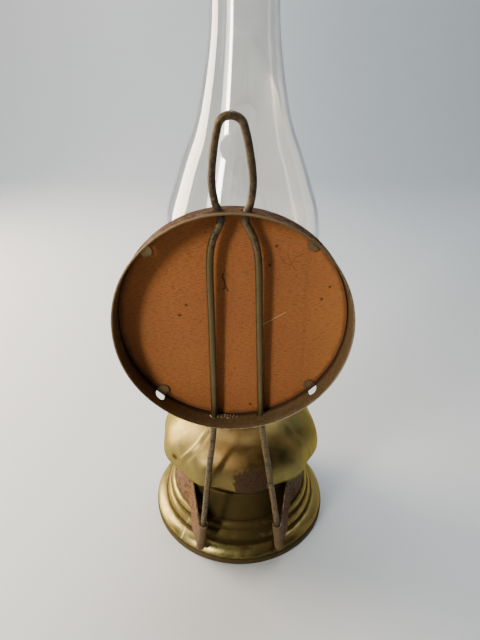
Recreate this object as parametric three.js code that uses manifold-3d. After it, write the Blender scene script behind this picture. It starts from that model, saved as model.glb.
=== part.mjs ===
// Kerosene lamp with a hanging reflector, in millimetres, +Z up.
// The origin is on the lamp's axis at the level of the table. +Y is the lamp's front, where the
// light goes; the reflector and its wire stand behind, at -Y.
import * as THREE from "three";
import { mergeVertices } from "three/addons/utils/BufferGeometryUtils.js";
import Module from "manifold-3d";

// Fits that all pieces share
const sheet = 0.8; // tinplate of the foot and the font
const seat_gap = 0.3; // air left where two pieces touch
const overrun = 3; // how far a cutter passes the face that it cuts
const weld = 0.001; // vertices closer than this are one
const round_steps = 32; // facets round the large pieces
const small_round_steps = 24; // facets round the burner's pieces

// Foot, drawn in one piece with its neck
const foot_radius = 67.6;
const hem_width = 3;
const skirt_height = 5;
const ring_radii = [58.4, 54.9, 51.3];
const ring_heights = [11.6, 19.8, 25.8];
const ring_bulge = 1.3;
const skirt_bulge = 1.6;
const neck_low_radius = 50.2;
const neck_high_radius = 45.8;
const neck_flange = 8;
const skirt_steps = 4;
const ring_steps = 3;

// Font, a round tank with large and small lobes by turns
const font_low = 46;
const font_equator = 63.5;
const font_top = 98;
const font_radius = 60.2;
const font_curl_radius = 42.5;
const font_under_radius = 57.6; // where the line from the equator turns in to the lip
const font_under_height = 58;
const font_lip_radius = 38;
const font_hole_radius = 18.6;
const lobe_pairs = 5;
const lobe_pair_steps = 12;
const small_lobe_steps = 5;
const lobe_depth = 4.6;
const lobe_turn = -44.5; // degrees from straight back towards +X, to a small lobe's left groove
const lobe_rise_share = 0.5;
const lobe_round_share = 0.3;
const font_low_steps = 4;
const font_high_steps = 7;
const font_floor_radius = 40.6;
const font_floor_rim = 1.2;

// Collar, soldered into the top of the font
const collar_radius = 20;
const collar_bore_radius = 17;
const collar_height = 8;
const collar_flange_radius = 24;
const collar_flange = 1.2;
const collar_spigot = 4;
const collar_bead = 0.9;

// Strap that clamps the neck and holds the wire in two rolled sleeves
const strap_sheet = 1;
const strap_drop = 19;
const strap_turn = 49; // degrees from straight back to where each wing leaves the neck
const wing_steps = 12;
const wing_clear = 0.7; // of the foot, which the wing's lower edge follows
const wing_stand = 4.5; // of the sleeve's foot below the wing's
const wing_high_drop = 10.4;
const wing_high_share = 1.4;
const sleeve_length = 22.8;
const sleeve_lift = 12.2;
const sleeve_bore = 4.6;
const sleeve_low_spread = 56.8;
const sleeve_high_spread = 51.2;
const sleeve_back = 61.8;
const sleeve_sides = 14;

// Hanger wire, one length bent into a loop and two legs
const wire_diameter = 4;
const wire_low_back = 59.6; // at the rim's lower holes
const wire_back = 62.6; // at the upper holes and the loop
const wire_lean = 1.45; // degrees, the top leaning to -X
const wire_sides = 8;
const wire_span_steps = 3;
const low_hole_spread = 28.4;
const leg_low_spread = 26.2;
const leg_high_spread = 24.4;
const bend_height = 236;
const high_hole_spread = 12;
const loop_spread = 19.6;
const loop_low_height = 259;
const loop_wide_height = 270;
const loop_height = 298;
const loop_top_radius = 6.6;
const loop_top_steps = 4;
// Shares of the way from a sleeve's mouth to the rim, from the rim's foot to its middle,
// from the straight legs in to the upper holes, and from those out to the loop
const leg_shares = [0.5, 0.92];
const rim_entry_share = 0.1;
const bend_in_share = 0.26;
const loop_out_share = 0.68;

// Reflector: a tin cup rim that holds a mirror and a cardboard back
const rim_radius = 64.6;
const rim_depth = 17.4;
const rim_sheet = 0.7;
const rim_back = 70;
const rim_height = 190.9;
const rim_shift = -1.4; // off the middle of the wire
const rim_lip = 3;
const rim_bead = 0.4;
const rim_steps = 40;
const tab_count = 4;
const tab_turn = 47.5; // degrees of the first tab above +X, seen from behind
const tab_width = 6.4;
const tab_reach = 6.2;
const tab_round_steps = 8;
const mirror_glass = 1.4;
const cardboard = 1.2;
const disc_play = 0.4;
const mirror_bevel = 0.5;

// Burner body, screwed into the collar
const spigot_play = 0.6;
const spigot_wall = 1.2;
const spigot_length = 7;
const burner_sheet = 0.8;
const burner_floor = 1;
const burner_cup_radius = 24.4;
const burner_cup_height = 4.4;
const screen_low_radius = 24.4;
const screen_high_radius = 25.4;
const screen_height = 15;
const screen_hole = 2.4;
const screen_hole_count = 16;
const screen_hole_sides = 5;
const screen_row_shares = [0.64, 0.84];

// Wick, its tube and the gear that raises it
const wick_width = 17.5;
const wick_thickness = 2;
const wick_play = 0.4;
const wick_foot = 52;
const wick_stand = 1;
const tube_wall = 0.5;
const tube_top = 143;
const tube_tail = 5;
const tube_corner_steps = 5;
const spindle_diameter = 2.4;
const spindle_lift = 8.5; // axis above the burner floor
const spindle_reach = 51;
const spindle_tail = 13;
const spindle_sides = 12;
const sprocket_radius = 4.2;
const sprocket_root_share = 0.72;
const sprocket_teeth = 10;
const sprocket_width = 2;
const sprocket_spread = 10;
const gear_play = 0.4;
const running_play = 0.1;
const case_wall = 0.6;
const case_play = 0.8;
const case_half_width = 8.4;
const bushing_radius = 3.4;
const bushing_flange_radius = 4.6;
const bushing_flange = 1.4;
const bushing_length = 6;
const knob_radius = 8.5;
const knob_width = 3.4;
const knob_hub_radius = 3.6;
const knob_hub_length = 3;
const knob_flutes = 18;
const knob_flute_depth = 0.7;
const knob_flute_steps = 3;
const knob_dish = 0.9;

// Gallery with its spring prongs, and the flame deflector
const gallery_sheet = 0.8;
const gallery_bore_radius = 20.4;
const gallery_pan_radius = 25.6;
const gallery_seat_radius = 30.4;
const gallery_seat_rise = 3;
const gallery_wall = 4.5;
const gallery_slots = 12;
const gallery_slot_width = 2.6;
const prong_count = 4;
const prong_width = 8;
const prong_sheet = 0.6;
const prong_height = 19;
const prong_pinch_share = 0.74;
const prong_turn = 45; // degrees
const deflector_radius = 19;
const deflector_height = 19.5;
const deflector_flange = 3.4;
const deflector_steps = 7;
const slot_length = 24;
const slot_width = 7;

// Glass chimney
const chimney_height = 263;
const chimney_glass = 1.8;
const chimney_base_radius = 27.4;
const chimney_base_length = 12;
const bulge_radius = 48.6;
const bulge_share = 0.332;
const chimney_top_radius = 17.6;
// Above the bulge: share of the way up to the top, share of the way in to the top's radius
const taper_shares = [
  [0, 0],
  [0.05, 0.018],
  [0.13, 0.082],
  [0.206, 0.226],
  [0.309, 0.439],
  [0.4, 0.648],
  [0.491, 0.787],
  [0.616, 0.916],
  [0.735, 0.974],
  [1, 1],
];
const belly_steps = 6;
const taper_steps = 8;

// Finishes
const brass = { color: 0x8f7a35, roughness: 0.32, metalness: 0.9 };
const dark_brass = { color: 0x6b5626, roughness: 0.45, metalness: 0.85 };
const burner_brass = { color: 0x9c8340, roughness: 0.35, metalness: 0.9 };
const rusty_sheet = { color: 0x8a6a58, roughness: 0.7, metalness: 0.5 };
const steel_wire = { color: 0x5d5138, roughness: 0.55, metalness: 0.7 };
const tin_rim = { color: 0x6a5648, roughness: 0.6, metalness: 0.6 };
const card = { color: 0xa8622c, roughness: 0.95, metalness: 0 };
const silvered_glass = { color: 0xc9ced2, roughness: 0.06, metalness: 1 };
const cotton = { color: 0xd8cfb8, roughness: 0.95, metalness: 0 };
const clear_glass = { color: 0xf4f8fa, roughness: 0.03, metalness: 0, transparent: true, opacity: 0.3 };

// Sizes that follow from those above
const radians = Math.PI / 180;
const neck_top = font_low - seat_gap;
const neck_low = ring_heights[ring_heights.length - 1];
const collar_seat = font_top + seat_gap;
const collar_top = collar_seat + collar_height;
const burner_seat = collar_top + seat_gap;
const floor_top = burner_seat + burner_floor;
const screen_seat = burner_seat + burner_cup_height + seat_gap;
const screen_top = screen_seat + screen_height;
const gallery_seat = screen_top + seat_gap;
const pan_top = gallery_seat + gallery_sheet;
const chimney_seat = gallery_seat + gallery_seat_rise + gallery_sheet + seat_gap;
const spindle_height = floor_top + spindle_lift;
const spindle_front = wick_thickness / 2 + gear_play + sprocket_radius;
const wick_top = tube_top + wick_stand;
const tube_half_width = wick_width / 2 + wick_play + tube_wall;
const tube_half_depth = wick_thickness / 2 + wick_play + tube_wall;
const bulge_height = chimney_height * bulge_share;
const strap_low = neck_low + seat_gap;
const strap_high = strap_low + strap_drop;

const wasm = await Module();
wasm.setup();

// Joins and cuts

// A closed geometry as a solid that can be joined and cut.
function solid(geometry) {
  const bare = geometry.clone();
  bare.deleteAttribute("normal");
  bare.deleteAttribute("uv");
  const merged = mergeVertices(bare, weld);
  const corners = merged.index.array;
  const kept = [];
  for (let i = 0; i < corners.length; i += 3) {
    const [a, b, c] = corners.slice(i, i + 3);
    if (a !== b && b !== c && c !== a) kept.push(a, b, c);
  }
  const mesh = new wasm.Mesh({
    numProp: 3,
    vertProperties: merged.attributes.position.array,
    triVerts: new Uint32Array(kept),
  });
  return new wasm.Manifold(mesh);
}

// A solid's surface as a geometry.
function surface(body) {
  const mesh = body.getMesh();
  const geometry = new THREE.BufferGeometry();
  const places = new THREE.BufferAttribute(new Float32Array(mesh.vertProperties), 3);
  geometry.setAttribute("position", places);
  geometry.setIndex(new THREE.BufferAttribute(new Uint32Array(mesh.triVerts), 1));
  const flat = geometry.toNonIndexed();
  flat.computeVertexNormals();
  return flat;
}

const join = (...parts) => surface(parts.map(solid).reduce((a, b) => a.add(b)));
const cut = (part, ...tools) => surface(tools.map(solid).reduce((a, b) => a.subtract(b), solid(part)));

// Outlines, as lists of [radius, height]

// An ellipse's arc round [radius, height], from one angle in degrees to another.
function arc([radius, height], across, up, from, to, steps) {
  return Array.from({ length: steps + 1 }, (_, i) => {
    const angle = (from + ((to - from) * i) / steps) * radians;
    return [radius + across * Math.cos(angle), height + up * Math.sin(angle)];
  });
}

// A line from one point to another that swells to its right by a height, as a parabola.
function swell([r0, z0], [r1, z1], height, steps) {
  const length = Math.hypot(r1 - r0, z1 - z0);
  return Array.from({ length: steps + 1 }, (_, i) => {
    const t = i / steps;
    const rise = (4 * t * (1 - t) * height) / length;
    return [r0 + (r1 - r0) * t + (z1 - z0) * rise, z0 + (z1 - z0) * t - (r1 - r0) * rise];
  });
}

// The outline of a sheet: a line, and the same line a wall's thickness to its left.
function walled(line, wall) {
  const left = line.map((point, i) => {
    const before = line[Math.max(i - 1, 0)];
    const after = line[Math.min(i + 1, line.length - 1)];
    const first = i ? [point[0] - before[0], point[1] - before[1]] : null;
    const second = i < line.length - 1 ? [after[0] - point[0], after[1] - point[1]] : null;
    const a = unit(first || second);
    const b = unit(second || first);
    const mitre = wall / (1 + a[0] * b[0] + a[1] * b[1]);
    return [point[0] - (a[1] + b[1]) * mitre, point[1] + (a[0] + b[0]) * mitre];
  });
  return [...line, ...left.reverse()];
}

function unit([x, y]) {
  const length = Math.hypot(x, y);
  return [x / length, y / length];
}

// Forms

// Turns an outline about Z. The outline runs counterclockwise, and is closed unless it meets the axis.
function revolve(outline, steps) {
  const points = outline.map(([r, z]) => new THREE.Vector2(r, z));
  if (outline[0][0] > weld) points.push(points[0]);
  return new THREE.LatheGeometry(points, steps).rotateX(Math.PI / 2);
}

// A round plate about Z with its lower face at a height, its upper edge bevelled.
function disc(radius, low, thickness, bevel, steps) {
  const high = low + thickness;
  return revolve([[0, low], [radius, low], [radius, high - bevel], [radius - bevel, high], [0, high]], steps);
}

function rod(from, to, radius, sides) {
  const along = new THREE.Vector3().subVectors(to, from);
  const turn = new THREE.Quaternion().setFromUnitVectors(
    new THREE.Vector3(0, 1, 0),
    along.clone().normalize(),
  );
  return new THREE.CylinderGeometry(radius, radius, along.length(), sides)
    .applyQuaternion(turn)
    .translate((from.x + to.x) / 2, (from.y + to.y) / 2, (from.z + to.z) / 2);
}

function block([x0, y0, z0], [x1, y1, z1]) {
  return new THREE.BoxGeometry(x1 - x0, y1 - y0, z1 - z0)
    .translate((x0 + x1) / 2, (y0 + y1) / 2, (z0 + z1) / 2);
}

function prism(points, depth) {
  const shape = new THREE.Shape(points.map(([x, y]) => new THREE.Vector2(x, y)));
  return new THREE.ExtrudeGeometry(shape, { depth, bevelEnabled: false, curveSegments: 1 });
}

// A flat oval column: its half width and half depth, rounded to half its depth at each end.
function oval(half_width, half_depth, low, high) {
  const flat = half_width - half_depth;
  const right = arc([flat, 0], half_depth, half_depth, -90, 90, tube_corner_steps);
  const left = arc([-flat, 0], half_depth, half_depth, 90, 270, tube_corner_steps);
  return prism([...right, ...left], high - low).translate(0, 0, low);
}

// A skin through sections of as many points each, closed round each section and at both ends.
function loft(sections) {
  const count = sections[0].length;
  const places = sections.flat().flatMap((p) => [p.x, p.y, p.z]);
  const faces = [];
  for (let i = 0; i + 1 < sections.length; i++) {
    for (let j = 0; j < count; j++) {
      const a = i * count + j;
      const b = i * count + ((j + 1) % count);
      faces.push(a, b, b + count, a, b + count, a + count);
    }
  }
  const end = (sections.length - 1) * count;
  for (let j = 1; j + 1 < count; j++) {
    faces.push(0, j + 1, j, end, end + j, end + j + 1);
  }
  const geometry = new THREE.BufferGeometry();
  geometry.setAttribute("position", new THREE.Float32BufferAttribute(places, 3));
  geometry.setIndex(faces);
  return geometry;
}

// The assembly
const lamp = new THREE.Group();

function piece(parent, name, geometry, finish) {
  const mesh = new THREE.Mesh(geometry, new THREE.MeshStandardMaterial(finish));
  mesh.name = name;
  parent.add(mesh);
  return mesh;
}

// Foot

// The outer line of the foot, from the hem outwards, up over the rings to the neck and in.
function foot_line() {
  const creases = ring_radii.map((radius, i) => [radius, ring_heights[i]]);
  const skirt_top = [foot_radius, skirt_height];
  const rings = [skirt_top, ...creases.slice(0, -1)].flatMap((from, i) => {
    const bulge = i ? ring_bulge : skirt_bulge;
    return swell(from, creases[i], bulge, i ? ring_steps : skirt_steps).slice(i ? 1 : 0);
  });
  return [
    [foot_radius - hem_width, 0],
    [foot_radius, 0],
    ...rings,
    [neck_low_radius, neck_low],
    [neck_high_radius, neck_top - sheet],
    [neck_high_radius - sheet, neck_top],
    [neck_high_radius - neck_flange, neck_top],
  ];
}

piece(lamp, "foot", revolve(walled(foot_line(), sheet), round_steps), brass);

// Font

const small_lobe_share = small_lobe_steps / lobe_pair_steps;

// How far a direction lies from the middle of its lobe: a right angle at a groove on each side.
function lobe_phase(x, y) {
  const turn = Math.atan2(x, -y) / radians - lobe_turn;
  const share = THREE.MathUtils.euclideanModulo((turn * lobe_pairs) / 360, 1);
  if (share < small_lobe_share) return Math.PI * (share / small_lobe_share - 0.5);
  return Math.PI * ((share - small_lobe_share) / (1 - small_lobe_share) - 0.5);
}

// Draws a round skin in at each groove between the lobes, most at the equator.
function lobed(geometry) {
  const places = geometry.attributes.position;
  const soft = Math.hypot(1, lobe_round_share);
  for (let i = 0; i < places.count; i++) {
    const [x, y, z] = [places.getX(i), places.getY(i), places.getZ(i)];
    const level = THREE.MathUtils.clamp((z - font_low) / (font_top - font_low), 0, 1);
    const groove = 1 - Math.hypot(Math.cos(lobe_phase(x, y)), lobe_round_share) / soft;
    const depth = lobe_depth * Math.sin(Math.PI * level ** lobe_rise_share) * groove;
    const scale = 1 - depth / font_radius;
    places.setXYZ(i, x * scale, y * scale, z);
  }
  return geometry;
}

// The line of the font's skin from the lip under the floor, round the equator, to the top hole.
function font_line() {
  const under = new THREE.QuadraticBezierCurve(
    new THREE.Vector2(font_curl_radius, font_low),
    new THREE.Vector2(font_under_radius, font_under_height),
    new THREE.Vector2(font_radius, font_equator),
  );
  const low = under.getPoints(font_low_steps).map((p) => [p.x, p.y]);
  const high = arc([font_hole_radius, font_equator], font_radius - font_hole_radius,
    font_top - font_equator, 0, 90, font_high_steps);
  return [[font_lip_radius, font_low], ...low, ...high.slice(1)];
}

const font_steps = lobe_pairs * lobe_pair_steps;
const font_skin = lobed(revolve(walled(font_line(), sheet), font_steps).rotateZ(lobe_turn * radians));
piece(lamp, "font_shell", font_skin, brass);

const font_floor_low = font_low + sheet + seat_gap;
const font_floor_line = [
  [0, font_floor_low],
  [font_floor_radius - font_floor_rim, font_floor_low],
  [font_floor_radius, font_floor_low + font_floor_rim],
];
piece(lamp, "font_floor", revolve(walled(font_floor_line, sheet), round_steps), dark_brass);

// Collar
const collar_outline = [
  [collar_bore_radius, font_top - collar_spigot],
  [font_hole_radius - seat_gap, font_top - collar_spigot],
  [font_hole_radius - seat_gap, collar_seat],
  [collar_flange_radius, collar_seat],
  [collar_flange_radius, collar_seat + collar_flange],
  [collar_radius, collar_seat + collar_flange],
  [collar_radius, collar_top - 2 * collar_bead],
  [collar_radius + collar_bead, collar_top - collar_bead],
  [collar_radius, collar_top],
  [collar_bore_radius, collar_top],
];
piece(lamp, "font_collar", revolve(collar_outline, small_round_steps), burner_brass);

// Strap and sleeves

// The neck's outside radius at a height.
function neck_radius(z) {
  const share = (z - neck_low) / (neck_top - sheet - neck_low);
  return neck_low_radius + (neck_high_radius - neck_low_radius) * share;
}

// The middle of a sleeve's bore at a height, on side -1 or 1.
function sleeve_middle(side, z) {
  const share = (z - sleeve_lift) / sleeve_length;
  const spread = sleeve_low_spread + (sleeve_high_spread - sleeve_low_spread) * share;
  return new THREE.Vector3((side * spread) / 2, -sleeve_back, z);
}

const strap_middle_off = seat_gap + strap_sheet / 2;
const sleeve_middle_radius = sleeve_bore / 2 + strap_sheet / 2;

// A section of the strap: four corners about its middle at two heights, with the sheet's normal.
function strap_section(place, normal, low, high) {
  const off = normal.clone().multiplyScalar(strap_sheet / 2);
  const [bottom, top] = [place(low), place(high)];
  return [
    bottom.clone().sub(off),
    top.clone().sub(off),
    top.clone().add(off),
    bottom.clone().add(off),
  ];
}

// The height of the foot's outside at a radius.
function foot_height(radius) {
  const line = foot_line();
  const heights = line.slice(1).map(([r1, z1], i) => {
    const [r0, z0] = line[i];
    if ((r0 - radius) * (r1 - radius) > 0 || r0 === r1) return 0;
    return z0 + ((z1 - z0) * (radius - r0)) / (r1 - r0);
  });
  return Math.max(...heights);
}

// The sections of one wing, from the neck to the sleeve.
function wing_sections(side) {
  const turn = side * strap_turn * radians;
  const out = new THREE.Vector3(Math.sin(turn), -Math.cos(turn), 0);
  const neck_place = (z) => out.clone().multiplyScalar(neck_radius(z) + strap_middle_off).setZ(z);
  const level = (strap_low + strap_high) / 2;
  const along = sleeve_middle(side, level).sub(neck_place(level)).setZ(0).normalize();
  const normal = new THREE.Vector3(-along.y * side, along.x * side, 0);
  const end_place = (z) => sleeve_middle(side, z).addScaledVector(normal, sleeve_middle_radius);
  return Array.from({ length: wing_steps + 1 }, (_, i) => {
    const share = i / wing_steps;
    const place = (z) => neck_place(z).lerp(end_place(z), share);
    const middle = place(level);
    const over_foot = foot_height(Math.hypot(middle.x, middle.y) - strap_sheet) + wing_clear;
    const low = THREE.MathUtils.clamp(over_foot, sleeve_lift + wing_stand, strap_low);
    const high = strap_high - wing_high_drop * share ** wing_high_share;
    return strap_section(place, normal, low, high);
  });
}

// The sections round the front of the neck, from the right wing to the left.
function strap_arc_sections() {
  const swept = 360 - 2 * strap_turn;
  const steps = Math.round((round_steps * swept) / 360);
  return Array.from({ length: steps - 1 }, (_, i) => {
    const turn = (strap_turn + (swept * (i + 1)) / steps) * radians;
    const out = new THREE.Vector3(Math.sin(turn), -Math.cos(turn), 0);
    const place = (z) => out.clone().multiplyScalar(neck_radius(z) + strap_middle_off).setZ(z);
    return strap_section(place, out, strap_low, strap_high);
  });
}

function strap() {
  const band = loft([
    ...wing_sections(1).reverse(),
    ...strap_arc_sections(),
    ...wing_sections(-1),
  ]);
  const sleeve_top = sleeve_lift + sleeve_length;
  const sleeves = [-1, 1].map((side) =>
    rod(sleeve_middle(side, sleeve_lift), sleeve_middle(side, sleeve_top),
      sleeve_bore / 2 + strap_sheet, sleeve_sides));
  const bores = [-1, 1].map((side) =>
    rod(sleeve_middle(side, sleeve_lift - overrun), sleeve_middle(side, sleeve_top + overrun),
      sleeve_bore / 2, sleeve_sides));
  return cut(join(band, ...sleeves), ...bores);
}

piece(lamp, "bracket_strap", strap(), rusty_sheet);

// Hanger wire

// The middle between the wire's legs at a height: the wire leans from the top of the sleeves.
function wire_middle(z) {
  const rise = Math.max(z - sleeve_lift - sleeve_length, 0);
  return -rise * Math.tan(wire_lean * radians);
}

// How far behind the lamp's axis the wire runs at a height above the sleeves.
function wire_depth(z) {
  const { mapLinear, clamp } = THREE.MathUtils;
  const [mouth, low_hole] = [sleeve_lift + sleeve_length, rim_height - rim_radius];
  if (z < low_hole) return mapLinear(z, mouth, low_hole, sleeve_back, wire_low_back);
  return mapLinear(clamp(z, low_hole, bend_height), low_hole, bend_height, wire_low_back, wire_back);
}

// A point of the wire on side -1 or 1, with the legs a spread apart.
function wire_point(side, spread, z) {
  return new THREE.Vector3(wire_middle(z) + (side * spread) / 2, -wire_depth(z), z);
}

// The route of one leg, from the foot of its sleeve to the widest part of the loop.
function wire_leg(side) {
  const mix = THREE.MathUtils.lerp;
  const mouth = sleeve_middle(side, sleeve_lift + sleeve_length);
  const low_hole = rim_height - rim_radius;
  const splayed = leg_shares.map((share) =>
    wire_point(side, mix(sleeve_high_spread, low_hole_spread, share), mix(mouth.z, low_hole, share)));
  const bend_spread = mix(leg_high_spread, high_hole_spread, bend_in_share);
  const neck_spread = mix(high_hole_spread, loop_spread, loop_out_share);
  return [
    sleeve_middle(side, sleeve_lift),
    mouth,
    ...splayed,
    wire_point(side, low_hole_spread, mix(low_hole, rim_height, rim_entry_share)),
    wire_point(side, leg_low_spread, rim_height),
    wire_point(side, leg_high_spread, bend_height - wire_diameter),
    wire_point(side, bend_spread, bend_height + wire_diameter),
    wire_point(side, high_hole_spread, rim_height + rim_radius - wire_diameter),
    wire_point(side, neck_spread, loop_low_height),
    wire_point(side, loop_spread, loop_wide_height),
  ];
}

// The round top of the loop, from left to right.
function loop_top() {
  const middle = loop_height - loop_top_radius;
  return arc([0, middle], loop_top_radius, loop_top_radius, 180, 0, loop_top_steps)
    .map(([x, z]) => wire_point(1, 2 * x, z));
}

const wire_route = new THREE.CatmullRomCurve3(
  [...wire_leg(-1), ...loop_top(), ...wire_leg(1).reverse()],
  false,
  "centripetal",
);

// The wire, or the way that it takes through other pieces, as a round tube on its route.
function wire_tube(radius) {
  const steps = (wire_route.points.length - 1) * wire_span_steps;
  const back = new THREE.Vector3(0, 1, 0);
  const sections = Array.from({ length: steps + 1 }, (_, i) => {
    const middle = wire_route.getPoint(i / steps);
    const along = wire_route.getTangent(i / steps);
    const side = new THREE.Vector3().crossVectors(back, along).normalize();
    const up = new THREE.Vector3().crossVectors(along, side);
    return Array.from({ length: wire_sides }, (_, j) => {
      const turn = (j * 2 * Math.PI) / wire_sides;
      return middle.clone()
        .addScaledVector(side, radius * Math.cos(turn))
        .addScaledVector(up, radius * Math.sin(turn));
    });
  });
  return loft(sections);
}

piece(lamp, "hanger_wire", wire_tube(wire_diameter / 2), steel_wire);

// Reflector, in a group whose Z is the lamp's front
const reflector = new THREE.Group();
reflector.position.set(wire_middle(rim_height) + rim_shift, -rim_back, rim_height);
reflector.rotation.x = -Math.PI / 2;
lamp.add(reflector);
reflector.updateMatrixWorld(true);

const mirror_front = rim_depth - rim_sheet - seat_gap;
const card_front = mirror_front - mirror_glass - seat_gap;
const tab_front = card_front - cardboard - seat_gap;

function rim_band() {
  const line = [
    [rim_radius + rim_bead, 0],
    [rim_radius + rim_bead, rim_bead * 2],
    [rim_radius, rim_bead * 3],
    [rim_radius, rim_depth - rim_sheet * 2],
    [rim_radius - rim_sheet / 2, rim_depth - rim_sheet / 2],
    [rim_radius - rim_sheet * 2, rim_depth],
    [rim_radius - rim_lip, rim_depth],
  ];
  return revolve(walled(line, rim_sheet), rim_steps);
}

// A half round on a straight root, as points in the plane of the sheet that it is cut from.
function tab_outline() {
  const half = tab_width / 2;
  const tip = arc([0, tab_reach - half], half, half, 0, 180, tab_round_steps);
  return [[half, 0], ...tip, [-half, 0]];
}

// A tab bent in over the cardboard, and the hole that it leaves in the wall behind its root.
function tab_at(turn) {
  const root = rim_radius - rim_sheet / 2;
  const flap = prism(tab_outline().map(([x, y]) => [x, root - y]).reverse(), rim_sheet)
    .translate(0, 0, tab_front - rim_sheet);
  const hole = prism(tab_outline().map(([x, y]) => [x, -y]).reverse(), 2 * overrun)
    .rotateX(-Math.PI / 2)
    .rotateX(Math.PI)
    .translate(0, root + overrun, tab_front - rim_sheet);
  return { flap: flap.rotateZ(turn), hole: hole.rotateZ(turn) };
}

function rim() {
  const tabs = Array.from({ length: tab_count }, (_, i) => {
    const turn = (tab_turn + (360 * i) / tab_count) * radians;
    return tab_at(-turn - Math.PI / 2);
  });
  const way = wire_tube(wire_diameter / 2 + seat_gap)
    .applyMatrix4(reflector.matrixWorld.clone().invert());
  const open = cut(rim_band(), ...tabs.map((tab) => tab.hole), way);
  return join(open, ...tabs.map((tab) => tab.flap));
}

piece(reflector, "reflector_rim", rim(), tin_rim);
const disc_radius = rim_radius - rim_sheet - disc_play;
piece(reflector, "mirror_glass",
  disc(disc_radius, mirror_front - mirror_glass, mirror_glass, mirror_bevel, rim_steps), silvered_glass);
piece(reflector, "cardboard_back", disc(disc_radius, card_front - cardboard, cardboard, 0, rim_steps), card);

// Burner
const burner = new THREE.Group();
lamp.add(burner);

function burner_base() {
  const spigot = collar_bore_radius - spigot_play;
  const cup_top = burner_seat + burner_cup_height;
  const body = revolve([
    [spigot - spigot_wall, burner_seat - spigot_length],
    [spigot, burner_seat - spigot_length],
    [spigot, burner_seat],
    [collar_radius + collar_bead, burner_seat],
    [burner_cup_radius, burner_seat + burner_cup_height / 2],
    [burner_cup_radius, cup_top],
    [burner_cup_radius - burner_sheet, cup_top],
    [burner_cup_radius - burner_sheet, burner_seat + burner_cup_height / 2],
    [collar_radius + collar_bead - burner_sheet, floor_top],
    [spigot - spigot_wall, floor_top],
  ], small_round_steps);
  const floor = disc(spigot, burner_seat, burner_floor, 0, small_round_steps);
  const slot = oval(tube_half_width + seat_gap, tube_half_depth + seat_gap,
    burner_seat - overrun, floor_top + overrun);
  return cut(join(body, floor), slot);
}

piece(burner, "burner_base", burner_base(), burner_brass);

// The way of the spindle through a wall, at x from 0 to the knob's side.
function spindle_way(radius) {
  const height = spindle_height;
  return rod(new THREE.Vector3(0, spindle_front, height),
    new THREE.Vector3(-spindle_reach, spindle_front, height), radius, spindle_sides);
}

function air_screen() {
  const line = [
    [screen_low_radius, screen_seat],
    [screen_high_radius, screen_top],
  ];
  const holes = screen_row_shares.flatMap((share, row) =>
    Array.from({ length: screen_hole_count }, (_, i) => {
      const turn = ((i + row / 2) * 2 * Math.PI) / screen_hole_count;
      const height = screen_seat + screen_height * share;
      const middle = screen_low_radius - burner_sheet - overrun / 2;
      const from = new THREE.Vector3(middle, 0, height);
      const to = new THREE.Vector3(screen_high_radius + overrun, 0, height);
      return rod(from, to, screen_hole / 2, screen_hole_sides).rotateZ(turn);
    }));
  const wall = revolve(walled(line, burner_sheet), small_round_steps);
  return cut(wall, ...holes, spindle_way(bushing_radius + seat_gap));
}

piece(burner, "air_screen", air_screen(), burner_brass);

// Wick and its gear
function wick_tube() {
  const low = burner_seat - tube_tail;
  const outside = oval(tube_half_width, tube_half_depth, low, tube_top);
  const bore = oval(tube_half_width - tube_wall, tube_half_depth - tube_wall,
    low - overrun, tube_top + overrun);
  const window_half = sprocket_spread / 2 + sprocket_width / 2 + gear_play;
  const window_reach = sprocket_radius + gear_play;
  const window = block([-window_half, 0, spindle_height - window_reach],
    [window_half, tube_half_depth + overrun, spindle_height + window_reach]);
  return cut(outside, bore, window);
}

piece(burner, "wick_tube", wick_tube(), burner_brass);
piece(burner, "wick", oval(wick_width / 2, wick_thickness / 2, wick_foot, wick_top), cotton);

// The case over the sprockets: five walls of a box that stands in front of the tube.
function gear_case() {
  const back = tube_half_depth + seat_gap;
  const front = spindle_front + sprocket_radius + case_play;
  const reach = sprocket_radius + case_play;
  const low = Math.max(spindle_height - reach - case_wall, floor_top + seat_gap);
  const high = spindle_height + reach + case_wall;
  const outside = block([-case_half_width, back, low], [case_half_width, front + case_wall, high]);
  const inside = block([case_wall - case_half_width, back - overrun, low + case_wall],
    [case_half_width - case_wall, front, high - case_wall]);
  const axis = (x) => new THREE.Vector3(x, spindle_front, spindle_height);
  const way = rod(axis(-case_half_width - overrun), axis(case_half_width + overrun),
    spindle_diameter / 2 + running_play, spindle_sides);
  return cut(outside, inside, way);
}

piece(burner, "gear_case", gear_case(), burner_brass);

const gear = new THREE.Group();
gear.position.set(0, spindle_front, spindle_height);
gear.rotation.y = -Math.PI / 2;
burner.add(gear);

const spindle = rod(new THREE.Vector3(0, 0, -spindle_tail), new THREE.Vector3(0, 0, spindle_reach),
  spindle_diameter / 2, spindle_sides);
piece(gear, "wick_spindle", spindle, steel_wire);

// A toothed wheel about Z with a bore that clears the spindle.
function sprocket() {
  const points = Array.from({ length: 2 * sprocket_teeth }, (_, i) => {
    const radius = sprocket_radius * (i % 2 ? sprocket_root_share : 1);
    const turn = (i * Math.PI) / sprocket_teeth;
    return [radius * Math.cos(turn), radius * Math.sin(turn)];
  });
  const wheel = prism(points, sprocket_width).translate(0, 0, -sprocket_width / 2);
  const bore = rod(new THREE.Vector3(0, 0, -overrun), new THREE.Vector3(0, 0, overrun),
    spindle_diameter / 2 + seat_gap, spindle_sides);
  return cut(wheel, bore);
}

["left", "right"].forEach((side, i) => {
  const wheel = piece(gear, "sprocket_" + side, sprocket(), steel_wire);
  wheel.position.z = (i - 0.5) * sprocket_spread;
});

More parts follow.
